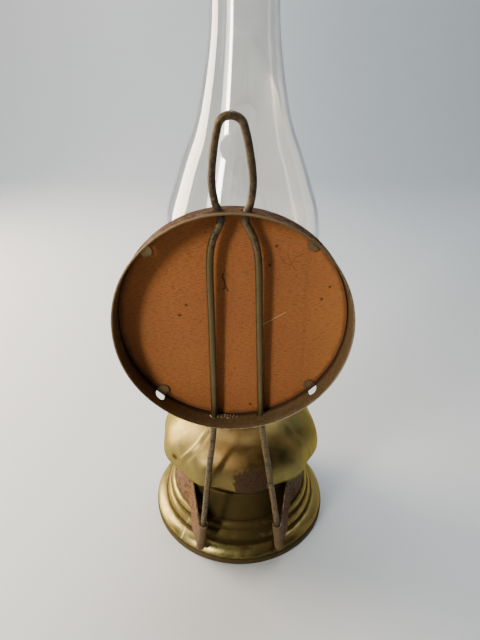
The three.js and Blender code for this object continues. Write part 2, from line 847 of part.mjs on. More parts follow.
// The bushing that carries the spindle through the screen's wall.
function bushing() {
  const bore = spindle_diameter / 2 + running_play;
  const wall = screen_wall_at(spindle_height) + seat_gap;
  return revolve([
    [bore, wall - bushing_length + bushing_flange],
    [bushing_radius, wall - bushing_length + bushing_flange],
    [bushing_radius, wall],
    [bushing_flange_radius, wall],
    [bushing_flange_radius, wall + bushing_flange],
    [bore, wall + bushing_flange],
  ], spindle_sides * 2);
}

// How far along X the screen's wall lies at a height, on the line of the spindle.
function screen_wall_at(z) {
  const share = (z - screen_seat) / screen_height;
  const radius = screen_low_radius + (screen_high_radius - screen_low_radius) * share;
  return Math.sqrt(radius ** 2 - (spindle_front - bushing_flange_radius) ** 2);
}

piece(gear, "spindle_bushing", bushing(), burner_brass);

// The knob: a dished disc with a fluted edge on a hub.
function knob() {
  const count = knob_flutes * knob_flute_steps;
  const edge = Array.from({ length: count }, (_, i) => {
    const turn = (i * 2 * Math.PI) / count;
    const radius = knob_radius - knob_flute_depth * Math.abs(Math.sin((turn * knob_flutes) / 2));
    return [radius * Math.cos(turn), radius * Math.sin(turn)];
  });
  const back = spindle_reach - knob_width;
  const wheel = prism(edge, knob_width).translate(0, 0, back);
  const hub = disc(knob_hub_radius, back - knob_hub_length, knob_hub_length + knob_width / 2, 0, spindle_sides * 2);
  const ring = revolve([
    [knob_hub_radius, spindle_reach - knob_dish],
    [knob_radius - 2 * knob_flute_depth - knob_dish, spindle_reach - knob_dish],
    [knob_radius - 2 * knob_flute_depth, spindle_reach + overrun],
    [knob_hub_radius, spindle_reach + overrun],
  ], small_round_steps);
  const bore = rod(new THREE.Vector3(0, 0, back - knob_hub_length - overrun),
    new THREE.Vector3(0, 0, spindle_reach + overrun), spindle_diameter / 2 + seat_gap, spindle_sides);
  return cut(join(wheel, hub), ring, bore);
}

piece(gear, "wick_knob", knob(), burner_brass);

// Gallery and prongs
function gallery() {
  const line = [
    [gallery_bore_radius, gallery_seat],
    [gallery_pan_radius, gallery_seat],
    [gallery_pan_radius, gallery_seat + gallery_seat_rise],
    [gallery_seat_radius, gallery_seat + gallery_seat_rise],
    [gallery_seat_radius, gallery_seat + gallery_seat_rise + gallery_wall],
  ];
  const slots = Array.from({ length: gallery_slots }, (_, i) =>
    block([gallery_pan_radius - overrun, -gallery_slot_width / 2, pan_top + gallery_sheet / 2],
      [gallery_pan_radius + overrun / 2, gallery_slot_width / 2,
        gallery_seat + gallery_seat_rise - gallery_sheet / 2])
      .rotateZ(((i + 0.5) * 2 * Math.PI) / gallery_slots));
  return cut(revolve(walled(line, gallery_sheet), small_round_steps), ...slots);
}

piece(burner, "gallery", gallery(), burner_brass);

// A prong's side view, as [radius, height]: up the gallery's wall, in to the glass and out again.
function prong() {
  const foot = gallery_seat + gallery_seat_rise;
  const out = gallery_seat_radius + seat_gap;
  const pinch = chimney_base_radius + seat_gap;
  const line = [
    [out, foot],
    [out, foot + gallery_wall],
    [pinch, foot + prong_height * prong_pinch_share],
    [out, foot + prong_height],
  ];
  const outline = walled(line, -prong_sheet);
  return prism(outline, prong_width)
    .rotateX(Math.PI / 2)
    .translate(0, prong_width / 2, 0);
}

for (let i = 0; i < prong_count; i++) {
  const finger = piece(burner, "chimney_prong_" + (i + 1), prong(), burner_brass);
  finger.rotation.z = (prong_turn + (360 * i) / prong_count) * radians;
}

// Deflector, a dome with a flange that lies in the gallery's pan and a slot for the flame
function deflector() {
  const low = pan_top + seat_gap;
  const flange_radius = deflector_radius + deflector_flange;
  const inner = arc([0, low], deflector_radius - burner_sheet, deflector_height - burner_sheet,
    90, 0, deflector_steps);
  const outer = arc([0, low], deflector_radius, deflector_height, 0, 90, deflector_steps);
  const flange = [
    [flange_radius, low],
    [flange_radius, low + burner_sheet],
    [deflector_radius, low + burner_sheet],
  ];
  const dome = revolve([...inner, ...flange, ...outer.slice(1)], small_round_steps);
  const slot = block([-slot_length / 2, -slot_width / 2, low + deflector_height / 2],
    [slot_length / 2, slot_width / 2, low + deflector_height + overrun]);
  return cut(dome, slot);
}

piece(burner, "flame_deflector", deflector(), burner_brass);

// Chimney

// The outside of the glass from its foot: straight, out to the bulge, and in to the top.
function chimney_line() {
  const rise = bulge_height - chimney_base_length;
  const belly = Array.from({ length: belly_steps }, (_, i) => {
    const share = (i + 1) / belly_steps;
    const swing = (1 - Math.cos(Math.PI * share)) / 2;
    return [
      chimney_base_radius + (bulge_radius - chimney_base_radius) * swing,
      chimney_base_length + rise * share,
    ];
  });
  const taper = new THREE.SplineCurve(taper_shares.map(([up, inward]) => new THREE.Vector2(
    bulge_radius + (chimney_top_radius - bulge_radius) * inward,
    bulge_height + (chimney_height - bulge_height) * up,
  )));
  const high = taper.getSpacedPoints(taper_steps).slice(1).map((p) => [p.x, p.y]);
  return [[chimney_base_radius, 0], [chimney_base_radius, chimney_base_length], ...belly, ...high];
}

const chimney = piece(burner, "chimney",
  revolve(walled(chimney_line(), chimney_glass), round_steps), clear_glass);
chimney.position.z = chimney_seat;

export default lamp;
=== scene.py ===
"""Kerosene lamp with a hanging reflector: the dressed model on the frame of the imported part.

Lengths are in millimetres until a mesh is made, and a turn is an angle from straight back (-Y)
towards +X. +Z is up, and +Y is the lamp's front.
"""
import math

import bpy
import numpy as np
from mathutils import Matrix, Vector
from mathutils.geometry import delaunay_2d_cdt


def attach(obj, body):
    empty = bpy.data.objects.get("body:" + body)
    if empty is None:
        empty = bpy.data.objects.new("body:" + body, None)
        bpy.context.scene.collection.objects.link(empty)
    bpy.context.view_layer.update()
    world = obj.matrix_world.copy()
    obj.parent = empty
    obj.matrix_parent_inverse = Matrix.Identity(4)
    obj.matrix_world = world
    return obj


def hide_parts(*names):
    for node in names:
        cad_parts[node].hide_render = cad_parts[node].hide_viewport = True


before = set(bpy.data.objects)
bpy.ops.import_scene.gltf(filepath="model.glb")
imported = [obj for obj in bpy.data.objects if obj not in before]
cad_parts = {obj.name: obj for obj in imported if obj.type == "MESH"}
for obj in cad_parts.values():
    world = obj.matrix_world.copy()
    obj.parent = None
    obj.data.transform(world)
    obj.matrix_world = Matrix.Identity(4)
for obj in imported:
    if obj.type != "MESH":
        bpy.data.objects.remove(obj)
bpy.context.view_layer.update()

MM = 0.001
WELD = 0.002  # points closer than this are one
AIR = 0.3  # left where two pieces touch
TAU = 2 * math.pi

# Sizes shared by several pieces
SHEET = 0.8
FOOT_EDGE, NECK_LOW, NECK_HIGH = (67.6, 5), (50.2, 25.8), (45.8, 44.9)
FOOT_CREASES = [(58.4, 11.6), (54.9, 19.8), (51.3, 25.8)]
FONT_LOW, FONT_TOP, FONT_EQUATOR, FONT_RADIUS = 46.0, 98.0, 63.5, 60.2
LOBE_PAIRS, LOBE_TURN, SMALL_SHARE = 5, -44.5, 5 / 12
COLLAR_SEAT, COLLAR_TOP = 98.3, 106.3
BURNER_SEAT, FLOOR_TOP = 106.6, 107.6
SCREEN_SEAT, SCREEN_TOP, SCREEN_RADIUS = 111.3, 126.3, 24.72
GALLERY_SEAT = 126.6
CHIMNEY_SEAT = 130.7
SPINDLE_FRONT, SPINDLE_HEIGHT = 5.6, 116.1
RIM_BACK, RIM_HEIGHT, RIM_RADIUS, RIM_DEPTH = 70.0, 190.9, 64.6, 17.4
RIM_WALL = RIM_RADIUS - 0.35  # the middle of the cup's wall
RIM_LOW_HOLE = RIM_HEIGHT - RIM_RADIUS
WIRE_LEAN, WIRE_RADIUS = math.tan(math.radians(1.45)), 2.0
SLEEVE_LOW, SLEEVE_TOP, SLEEVE_BACK = 12.2, 35.0, 61.8
SLEEVES_LOW_APART, SLEEVES_TOP_APART, ROLL_RADIUS = 56.8, 51.2, 2.8
STRAP_LOW, STRAP_HIGH, STRAP_WALL, WING_TURN = 26.1, 45.1, 1.0, math.radians(49)
RIM_MIDDLE = -(RIM_HEIGHT - SLEEVE_TOP) * WIRE_LEAN - 1.4


# ---------------------------------------------------------------- outlines


def line(*points):
    """A list of (radius, height) points as an array."""
    return np.array(points, float)


def box(half_width, half_height, middle=(0, 0)):
    """A rectangle's corners."""
    return line((-1, -1), (1, -1), (1, 1), (-1, 1)) * [half_width, half_height] + middle


def arc(middle, across, up, start, end, steps):
    """An ellipse's arc: middle + (across cos a, up sin a) for a from start to end degrees."""
    a = np.radians(np.linspace(start, end, steps + 1))
    return np.stack([middle[0] + across * np.cos(a), middle[1] + up * np.sin(a)], 1)


def swell(a, b, height, steps):
    """The line from a to b, moved to its right by height times 4 t (1 - t)."""
    a, b = np.array(a, float), np.array(b, float)
    t = np.linspace(0, 1, steps + 1)[:, None]
    d = b - a
    right = np.array([d[1], -d[0]]) / np.hypot(*d)
    return a + d * t + right * 4 * t * (1 - t) * height


def walled(points, wall):
    """The closed outline of a sheet: a line and, backwards, the same line a wall to its left."""
    d = np.diff(points, axis=0)
    d /= np.linalg.norm(d, axis=1)[:, None]
    before, after = np.vstack([d[:1], d]), np.vstack([d, d[-1:]])
    both = before + after
    mitre = wall / (1 + np.sum(before * after, 1))
    left = points + np.stack([-both[:, 1], both[:, 0]], 1) * mitre[:, None]
    return np.vstack([points, left[::-1]])


def rounded(points, radius, steps=4, closed=True, least=18):
    """Each corner sharper than a number of degrees becomes a quadratic curve that starts and ends
    radius tan(turn / 2) from it, or less where a side is short."""
    made = []
    for i, p in enumerate(points):
        turn = 0
        if closed or 0 < i < len(points) - 1:
            a, b = points[i - 1] - p, points[(i + 1) % len(points)] - p
            la, lb = np.linalg.norm(a), np.linalg.norm(b)
            turn = math.pi - math.acos(max(-1, min(1, float(a @ b) / (la * lb))))
        if math.degrees(turn) < least:
            made.append(p)
            continue
        reach = min(radius * math.tan(min(turn, 2.6) / 2), 0.42 * la, 0.42 * lb)
        start, end = p + a / la * reach, p + b / lb * reach
        for t in np.linspace(0, 1, steps + 1):
            made.append((1 - t) ** 2 * start + 2 * t * (1 - t) * p + t * t * end)
    return np.array(made)


def lengths(points):
    """The length along a line at each of its points."""
    return np.concatenate([[0], np.cumsum(np.linalg.norm(np.diff(points, axis=0), axis=1))])


def at_length(at, path):
    """The first and the second coordinates of a path at lengths along it."""
    far = lengths(path)
    return np.interp(at, far, path[:, 0]), np.interp(at, far, path[:, 1])


def length_at(height, path):
    """The length along a rising path at heights."""
    return np.interp(height, path[:, 1], lengths(path))


def rolled(outline, turn, radius):
    """An outline of (width, length) laid on a wall of a radius at a turn, as (turn, length)."""
    return outline / [radius, 1] + [turn, 0]


def bell(value, middle, width):
    """exp(-((value - middle) / width)^2)."""
    return np.exp(-(((value - middle) / width) ** 2))


def near(points, places, width):
    """How near points are to the nearest of some places: exp(-(distance / width)^2)."""
    gap = np.linalg.norm(points[:, None, :] - np.array(places, float)[None], axis=2).min(1)
    return bell(gap, 0, width)


def ramp(value, low, high):
    """0 below low, 1 above high, and a straight rise between."""
    return np.clip((value - low) / (high - low), 0, 1)


# ---------------------------------------------------------------- points and meshes


def around(r, turn, z):
    """Points at radii, turns and heights: (r sin turn, -r cos turn, z)."""
    return np.stack(np.broadcast_arrays(r * np.sin(turn), -r * np.cos(turn), z), -1)


def section(points):
    """Each point's radius and height."""
    return np.stack([np.hypot(points[:, 0], points[:, 1]), points[:, 2]], 1)


def turns_of(points):
    """Each point's turn in radians, from -pi to pi."""
    return np.arctan2(points[:, 0], -points[:, 1])


def dirt_near(points, places, width):
    """A piece's values, with dirt near places of (radius, height)."""
    return {"dirt_and_shade": near(section(points), places, width)}


def push_out(points, amount):
    """Moves points away from the Z axis by an amount each."""
    r = np.maximum(np.hypot(points[:, 0], points[:, 1]), 1e-6)
    moved = points.copy()
    moved[:, :2] *= (1 + amount / r)[:, None]
    return moved


def waves(points, length, height, seed):
    """Slow dents of pressed sheet: the sum of five sines of random direction, of a wavelength
    from 0.7 to 1.6 times a length, each height / 5 high."""
    rng = np.random.default_rng(seed)
    total = np.zeros(len(points))
    for _ in range(5):
        d = rng.normal(size=3)
        d *= TAU / (np.linalg.norm(d) * length * rng.uniform(0.7, 1.6))
        total += np.sin(points @ d + rng.uniform(0, TAU)) * height / 5
    return total


def grid_faces(rows, columns, close_rows=False, close_columns=False):
    """Quads (i, j), (i, j + 1), (i + 1, j + 1), (i + 1, j) of a grid of points, row by row."""
    i = np.arange(rows if close_rows else rows - 1)[:, None]
    j = np.arange(columns if close_columns else columns - 1)[None, :]
    ni, nj = (i + 1) % rows, (j + 1) % columns
    corners = [i * columns + j, i * columns + nj, ni * columns + nj, ni * columns + j]
    return np.stack(np.broadcast_arrays(*corners), -1).reshape(-1, 4)


def revolve(outline, steps, closed=True):
    """An outline of (r, z) turned about Z in steps."""
    t = np.arange(steps) / steps * TAU
    points = around(outline[:, :1], t, outline[:, 1:]).reshape(-1, 3)
    return points, grid_faces(len(outline), steps, closed, True)


def sheet_normals(points, faces):
    """Each point's normal, from the areas of the faces round it."""
    a, b, c, d = (points[faces[:, k]] for k in (0, 1, 2, -1))
    normal = np.cross(c - a, d - b) if faces.shape[1] == 4 else np.cross(b - a, c - a)
    total = np.zeros_like(points)
    for k in range(faces.shape[1]):
        np.add.at(total, faces[:, k], normal)
    return total / np.maximum(np.linalg.norm(total, axis=1), 1e-12)[:, None]


def thickened(points, faces, thickness):
    """A sheet's two sides, half the thickness along and against its normals, and its rims."""
    off = sheet_normals(points, faces) * thickness / 2
    count, width = len(points), faces.shape[1]
    edges = {}
    for face in faces.tolist():
        for a, b in zip(face, face[1:] + face[:1]):
            if a != b:
                edges[(a, b)] = True
    rims = [(b, a, a + count, b + count) for a, b in edges if (b, a) not in edges]
    if width == 3:
        rims = [(a, b, c) for a, b, c, d in rims] + [(a, c, d) for a, b, c, d in rims]
    rims = np.array(rims).reshape(-1, width)
    return np.vstack([points + off, points - off]), np.vstack([faces, faces[:, ::-1] + count, rims])


def weld(points):
    """Which points to keep of those that repeat, and each point's place among the kept."""
    keys = np.floor(points / WELD + 0.37).astype(np.int64)
    _, first, place = np.unique(keys, axis=0, return_index=True, return_inverse=True)
    return first, place.reshape(-1)


def welded(points, faces):
    """The points less those that repeat, and the faces on what is left."""
    first, place = weld(points)
    return points[first], place[faces]


def distance_out(points, loop):
    """How far points lie outside a closed loop, less than nothing inside it."""
    best = np.full(len(points), np.inf)
    inside = np.zeros(len(points), bool)
    for a, b in zip(loop, np.roll(loop, -1, axis=0)):
        d = b - a
        t = np.clip(((points - a) @ d) / max(d @ d, 1e-12), 0, 1)
        best = np.minimum(best, np.linalg.norm(points - a - t[:, None] * d, axis=1))
        if a[1] != b[1]:
            crosses = (a[1] > points[:, 1]) != (b[1] > points[:, 1])
            at = a[0] + (points[:, 1] - a[1]) * d[0] / d[1]
            inside ^= crosses & (points[:, 0] < at)
    return np.where(inside, -best, best)


def cut_flat(border, inside, holes, margin):
    """Triangles of a flat form: its border, its holes' outlines and the points inside that lie
    further than a margin from both, joined by Delaunay's rule, less those in a hole."""
    kept = distance_out(inside, border) < -margin * 0.6
    for hole in holes:
        kept &= distance_out(inside, hole) > margin
    edges, start = [], 0
    for loop in [border, *holes]:
        count = len(loop)
        edges += [(start + k, start + (k + 1) % count) for k in range(count)]
        start += count
    flat = np.vstack([border, *holes, inside[kept]])
    made = delaunay_2d_cdt([Vector(p) for p in flat.tolist()], edges, [], 0, 1e-7)
    places, faces = np.array([tuple(p) for p in made[0]]), np.array(made[2])
    middle = places[faces].mean(1)
    keep = distance_out(middle, border) < 0
    for hole in holes:
        keep &= distance_out(middle, hole) > 0
    faces = faces[keep]
    a, b, c = (places[faces[:, k]] for k in range(3))
    area = (b[:, 0] - a[:, 0]) * (c[:, 1] - a[:, 1]) - (b[:, 1] - a[:, 1]) * (c[:, 0] - a[:, 0])
    faces[area < 0] = faces[area < 0][:, ::-1]
    return places, faces[np.abs(area) > 1e-9]


def cut_grid(across, up, holes, margin):
    """Triangles of a rectangle with holes, on the crossings of lines across and up."""
    low, high, left, right = up[0], up[-1], across[0], across[-1]
    border = [*[(u, low) for u in across], *[(right, v) for v in up[1:-1]],
              *[(u, high) for u in across[::-1]], *[(left, v) for v in up[1:-1][::-1]]]
    inside = np.stack(np.meshgrid(across[1:-1], up[1:-1]), -1).reshape(-1, 2)
    return cut_flat(np.array(border), inside, holes, margin)


def turned_sheet(profile, steps, holes, wall, margin=0.7, start=0.0):
    """A thin wall about Z: a profile turned through a circle from a start turn, with holes given
    as outlines in (turn in radians, length along the profile), and thickened."""
    reach = float(profile[:, 0].max())
    across = np.linspace(0, TAU * reach, steps + 1)
    cuts = [np.stack([(h[:, 0] - start) % TAU * reach, h[:, 1]], 1) for h in holes]
    flat, faces = cut_grid(across, lengths(profile), cuts, margin)
    r, z = at_length(flat[:, 1], profile)
    return thickened(*welded(around(r, flat[:, 0] / reach + start, z), faces), wall)


def bent_strip(path, steps, half_width, columns, turn, wall, crown=None, order=1):
    """A strip that follows a path of (radius, height) at a turn. half_width gives half its width
    from the length done and the length left, and crown lifts it by its place across, -1 to 1."""
    far = lengths(path)[-1]
    done = np.linspace(0, far, steps)
    r, z = at_length(done, path)
    across = np.linspace(-1, 1, columns)
    x = half_width(done, far - done)[:, None] * across
    r = r[:, None] + (crown(across) if crown else 0) + 0 * x
    s, c = math.sin(turn), math.cos(turn)
    points = np.stack([x * c + r * s, x * s - r * c, z[:, None] + 0 * x], -1).reshape(-1, 3)
    return thickened(points, grid_faces(steps, columns)[:, ::order], wall)


def joined(parts):
    """Several (points, faces) as one array of points, and a list of each part's faces in it."""
    starts = np.cumsum([0] + [len(points) for points, _ in parts])
    return np.vstack([points for points, _ in parts]), [f + s for (_, f), s in zip(parts, starts)]


def new_piece(name, points, faces, body, slot, nodes=(), values=None, sharp=32):
    """A mesh from points in millimetres and faces, an array or a list of them: points that repeat
    become one, faces lose repeated corners, and edges sharper than an angle stay sharp. values
    holds numbers for each point by name. The piece rides on a body, stands for CAD nodes, and has
    a material slot."""
    first, place = weld(points)
    rings = []
    for some in faces if isinstance(faces, list) else [faces]:
        for face in place[some].tolist():
            ring = [v for k, v in enumerate(face) if v != face[k - 1]]
            if len(ring) > 2 and len(set(ring)) == len(ring):
                rings.append(ring)
    mesh = bpy.data.meshes.new(name)
    mesh.from_pydata((points[first] * MM).tolist(), [], rings)
    for key, value in {"rusted": np.ones(len(points)), **(values or {})}.items():
        layer = mesh.attributes.new(key, "FLOAT", "POINT")
        layer.data.foreach_set("value", np.asarray(value, float)[first].astype(np.float32))
    mesh.polygons.foreach_set("use_smooth", [True] * len(mesh.polygons))
    mesh.update()
    mesh.set_sharp_from_angle(angle=math.radians(sharp))
    mesh.materials.append(materials[slot])
    made = linked(name, mesh)
    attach(made, body)
    if nodes:
        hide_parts(*nodes)
    return made


def linked(name, data):
    """An object with its data, in the scene."""
    made = bpy.data.objects.new(name, data)
    bpy.context.scene.collection.objects.link(made)
    return made


# ---------------------------------------------------------------- material nodes


class Signal:
    """A node's output. Arithmetic on it, with numbers or other signals, adds Math nodes."""

    def __init__(self, node, output=0):
        self.socket = node.outputs[output]
        self.tree = node.id_data

    def __add__(self, other):
        return maths("ADD", self, other)

    def __sub__(self, other):
        return maths("SUBTRACT", self, other)

    def __rsub__(self, other):
        return maths("SUBTRACT", other, self)

    def __mul__(self, other):
        return maths("MULTIPLY", self, other)

    def __truediv__(self, other):
        return maths("DIVIDE", self, other)

    def __abs__(self):
        return maths("ABSOLUTE", self)

    def clamped(self):
        """The same signal, which its Math node now keeps from 0 to 1."""
        self.socket.node.use_clamp = True
        return self


def feed(tree, socket, value):
    """Links a signal to an input, or sets the input to a value."""
    if isinstance(value, Signal):
        tree.links.new(value.socket, socket)
    else:
        socket.default_value = value


def add(tree, kind, inputs=None, **settings):
    """A node of a kind, with settings and inputs."""
    made = tree.nodes.new("ShaderNode" + kind)
    for key, value in settings.items():
        setattr(made, key, value)
    for key, value in (inputs or {}).items():
        feed(tree, made.inputs[key], value)
    return made


def maths(operation, *values):
    """A Math node's output from signals and numbers."""
    tree = next(value.tree for value in values if isinstance(value, Signal))
    return Signal(add(tree, "Math", dict(enumerate(values)), operation=operation))


def largest(*signals):
    """The largest of some signals."""
    made = signals[0]
    for other in signals[1:]:
        made = maths("MAXIMUM", made, other)
    return made


def mixed(share, a, b):
    """Colour a where the share is 0, and colour b where it is 1."""
    a, b = (c if isinstance(c, Signal) else (*c, 1.0) for c in (a, b))
    return Signal(add(share.tree, "Mix", {0: share, 6: a, 7: b}, data_type="RGBA"), 2)


def coated(tone, *coats):
    """A tone under coats, each a share and a colour, one after the other."""
    for share, shade in coats:
        tone = mixed(share, tone, shade)
    return tone


def faded(value, low, high, first=0.0, last=1.0):
    """first below low, last above high, and a smooth step between."""
    inputs = {"Value": value, 1: low, 2: high, 3: first, 4: last}
    return Signal(add(value.tree, "MapRange", inputs, interpolation_type="SMOOTHSTEP"))


def placed(tree, scale=(1, 1, 1), turn=(0, 0, 0), shift=(0, 0, 0)):
    """Object coordinates, scaled, turned by degrees and shifted."""
    inputs = {"Vector": Signal(add(tree, "TexCoord"), "Object"), "Location": shift,
              "Rotation": [math.radians(a) for a in turn], "Scale": scale}
    return Signal(add(tree, "Mapping", inputs))


def axes(place):
    """The x, y and z of a place."""
    made = add(place.tree, "SeparateXYZ", {0: place})
    return [Signal(made, k) for k in range(3)]


def noise(place, scale, detail=3.0, rough=0.5, bend=0.0):
    """A noise texture's value at a place: 0.5 on average, of features 1 / scale metres across."""
    inputs = {"Vector": place, "Scale": scale, "Detail": detail, "Roughness": rough,
              "Distortion": bend}
    return Signal(add(place.tree, "TexNoise", inputs))


def attribute(tree, name):
    """A number that the mesh holds for each point."""
    return Signal(add(tree, "Attribute", attribute_name=name), "Fac")


def bumped(height, strength, distance, **more):
    """A normal from heights, where a height of 1 stands a distance in metres high."""
    inputs = {"Height": height, "Strength": strength, "Distance": distance, **more}
    return Signal(add(height.tree, "Bump", inputs))


def shared(name, inputs, outputs, build):
    """A node group, built once: its inputs by name with their first values, its outputs by name,
    and build(tree, the inputs' signals), which returns the outputs' signals."""
    tree = bpy.data.node_groups.new(name, "ShaderNodeTree")
    for key, value in inputs.items():
        made = tree.interface.new_socket(key, in_out="INPUT", socket_type="NodeSocketFloat")
        made.default_value = value
    for key in outputs:
        tree.interface.new_socket(key, in_out="OUTPUT", socket_type="NodeSocketFloat")
    start = tree.nodes.new("NodeGroupInput")
    end = tree.nodes.new("NodeGroupOutput")
    for key, signal in zip(outputs, build(tree, *[Signal(start, key) for key in inputs])):
        feed(tree, end.inputs[key], signal)
    return tree


def build_specks(tree, amount):
    """Small dark spots, in clusters: a fine noise over a limit that a slow noise moves."""
    place = placed(tree)
    total = noise(place, 900.0, 2.0, 0.6) * 0.45 + noise(place, 260.0, 3.0, 0.65) * 0.4
    return [faded(total + noise(place, 45.0, 2.0) * 0.35 + amount * 0.2, 0.7, 0.78)]


def build_scratches(tree, amount):
    """Thin straight marks in three directions: a noise stretched along each, over a limit."""
    marks = []
    for turn, shift in (((20, 35, 10), 1.3), ((-30, 60, 75), 4.1), ((65, -20, 140), 7.7)):
        place = placed(tree, (30, 1400, 1400), turn, (shift, shift / 2, 0))
        marks.append(faded(noise(place, 1.0, 1.0), 0.68, 0.72))
    broken = faded(noise(placed(tree), 70.0, 2.0), 0.5, 0.62)
    return [(largest(*marks) * broken * amount).clamped()]


def build_clouds(tree):
    """Slow stains from 0 to 1: two noises, one bent, with most of the surface near the middle."""
    slow = noise(placed(tree), 28.0, 4.0, 0.6, 0.6)
    fine = noise(placed(tree, shift=(3, 1, 2)), 120.0, 4.0, 0.6)
    return [faded(slow * 0.7 + fine * 0.3, 0.36, 0.64), fine]


def build_grime_and_shade(tree, amount):
    """Soil, and painted shade, where the mesh says so, with a ragged edge."""
    ragged = noise(placed(tree), 190.0, 4.0, 0.65)
    total = attribute(tree, "dirt_and_shade") * 1.1 + ragged * 0.9
    return [(faded(total, 0.6, 1.25) * amount).clamped()]


def build_wear_and_highlight(tree, amount):
    """Bare metal on the edges where the mesh says so, broken up; on the reflector's back edge,
    part of it is a painted highlight.
    """
    ragged = noise(placed(tree, shift=(5, 2, 9)), 330.0, 3.0, 0.7)
    return [(faded(attribute(tree, "wear_and_highlight") + ragged * 0.8, 0.85, 1.15) * amount).clamped()]


GROUPS = {
    "specks": shared("specks", {"Amount": 0.5}, ["Mask"], build_specks),
    "scratches": shared("scratches", {"Amount": 1.0}, ["Mask"], build_scratches),
    "clouds": shared("clouds", {}, ["Stain", "Fine"], build_clouds),
    "grime_and_shade": shared("grime_and_shade", {"Amount": 1.0}, ["Mask"], build_grime_and_shade),
    "wear_and_highlight": shared("wear_and_highlight", {"Amount": 1.0}, ["Mask"], build_wear_and_highlight),
}
materials = {}


def effect(tree, name, output="Mask", **inputs):
    """A shared effect's output, with its inputs set."""
    return Signal(add(tree, "Group", inputs, node_tree=GROUPS[name]), output)


def finished(name, build=None, **fixed):
    """A material: build(tree) gives what links to the shader, and fixed holds its constants."""
    made = materials[name] = bpy.data.materials.new(name)
    made.use_nodes = True
    tree = made.node_tree
    tree.nodes.clear()
    shader = add(tree, "BsdfPrincipled")
    for key, value in {**fixed, **(build(tree) if build else {})}.items():
        feed(tree, shader.inputs[key.replace("_", " ")], value)
    end = tree.nodes.new("ShaderNodeOutputMaterial")
    tree.links.new(shader.outputs[0], end.inputs["Surface"])
    return made


OLIVE, DIRT_AND_SHADE_BROWN, BARE = (0.25, 0.207, 0.074), (0.042, 0.027, 0.01), (0.5, 0.42, 0.24)


def plated(clean, stained, shine, specks, scratches, dents=0.3, extra=None):
    """Thin brass plating on tinplate: a clean and a stained tone in slow clouds, soil in creases
    and painted shade where the mesh says so, bare metal on edges, dark specks and fine
    scratches, over soft dents."""

    def build(tree):
        stain, fine = effect(tree, "clouds", "Stain"), effect(tree, "clouds", "Fine")
        spots = effect(tree, "specks", Amount=specks)
        marks = effect(tree, "scratches", Amount=scratches)
        grime_and_shade = effect(tree, "grime_and_shade")
        tone = mixed(stain, clean, stained)
        rough = faded(fine, 0.3, 0.75, shine, shine + 0.16) + stain * 0.06
        metal = 1.0
        if extra:
            tone, rough, metal = extra(tree, tone, rough, metal)
        # brown coat: soil in creases, and painted shade where the mesh says so
        tone = coated(tone, (effect(tree, "wear_and_highlight") * 0.7, BARE), (grime_and_shade * 0.85, DIRT_AND_SHADE_BROWN),
                      (spots * 0.8, (0.035, 0.022, 0.012)))
        grain = bumped(fine * 0.25 - marks * 0.35 + spots * 0.3, 0.22, 0.00012)
        dented = noise(placed(tree), 48.0, 0.0)
        return {"Base Color": tone,
                "Roughness": (rough + grime_and_shade * 0.3 + spots * 0.35 + marks * 0.12).clamped(),
                "Metallic": (metal - spots * 0.6).clamped(),
                "Normal": bumped(dented, dents, 0.0011, Normal=grain)}

    return build


def worn_patch(tree, tone, rough, metal):
    """The font's corroded patch low at the back, where the mesh says so, with a ragged edge and
    streaks down from it, and warm freckled gold above it."""
    place = placed(tree)
    x, y, z = axes(place)
    ragged = attribute(tree, "patch") + noise(place, 330.0, 5.0, 0.75) * 0.9
    spikes = noise(placed(tree, scale=(1, 1, 0.2)), 520.0, 2.0, 0.7)
    patch = faded(ragged + spikes * 0.7, 1.26, 1.34)
    tarnish = faded(y, -0.04, -0.015, 1.0, 0.0) * faded(abs(x), 0.012, 0.034, 1.0, 0.0)
    warm = faded(z, 0.068, 0.084) * tarnish
    freckles = faded(noise(place, 620.0, 4.0, 0.75), 0.5, 0.66, 0.0, 0.5)
    pits = faded(noise(place, 900.0, 3.0, 0.7), 0.5, 0.62)
    brown = mixed(pits, (0.052, 0.028, 0.016), (0.016, 0.009, 0.006))
    tone = coated(tone, (tarnish * 0.7, (0.145, 0.105, 0.038)), (warm * 0.7, (0.19, 0.11, 0.037)),
                  (warm * freckles, (0.14, 0.07, 0.025)), (patch * 0.96, brown))
    return tone, rough + patch * 0.4 + warm * 0.08, metal - patch * 0.9


def strokes(x, z, paths, width):
    """1 on some lines of (x, z) in millimetres, seen from the back, and 0 past half a width."""
    best = None
    for (ax, az), (bx, bz) in [pair for path in paths for pair in zip(path, path[1:])]:
        dx, dz = (bx - ax) * MM, (bz - az) * MM
        from_x, from_z = x - ax * MM, z - az * MM
        share = ((from_x * dx + from_z * dz) / (dx * dx + dz * dz)).clamped()
        off_x, off_z = from_x - share * dx, from_z - share * dz
        gap = maths("SQRT", off_x * off_x + off_z * off_z)
        best = gap if best is None else maths("MINIMUM", best, gap)
    return faded(best, width * 0.25 * MM, width * 0.5 * MM, 1.0, 0.0)


FOOT_HAIR = (((-7.3, 41.2), (2.2, 36), (13.2, 27.9), (23.7, 21.9)),)
FOOT_SCRATCH = (((-36.6, 21.5), (-39.7, 13.3), (-43.8, 6.2)),)


def foot_marks(tree, tone, rough, metal):
    """A pale hair across the neck and rings at the back, a bright scratch on the left, and a hem
    darkened nearly to black and made less metallic."""
    x, y, z = axes(placed(tree))
    back = faded(y, -0.03, -0.02, 1.0, 0.0)
    for paths, width, share, shade in ((FOOT_HAIR, 0.45, 0.55, (0.62, 0.52, 0.3)),
                                       (FOOT_SCRATCH, 0.7, 0.7, (0.7, 0.62, 0.36))):
        here = strokes(x, z, paths, width) * (back * share)
        tone = mixed(here, tone, shade)
        rough = rough + here * 0.3
    hem = faded(z, 0.0036, 0.0046, 1.0, 0.0)
    return mixed(hem, tone, (0.014, 0.011, 0.005)), rough, metal - hem


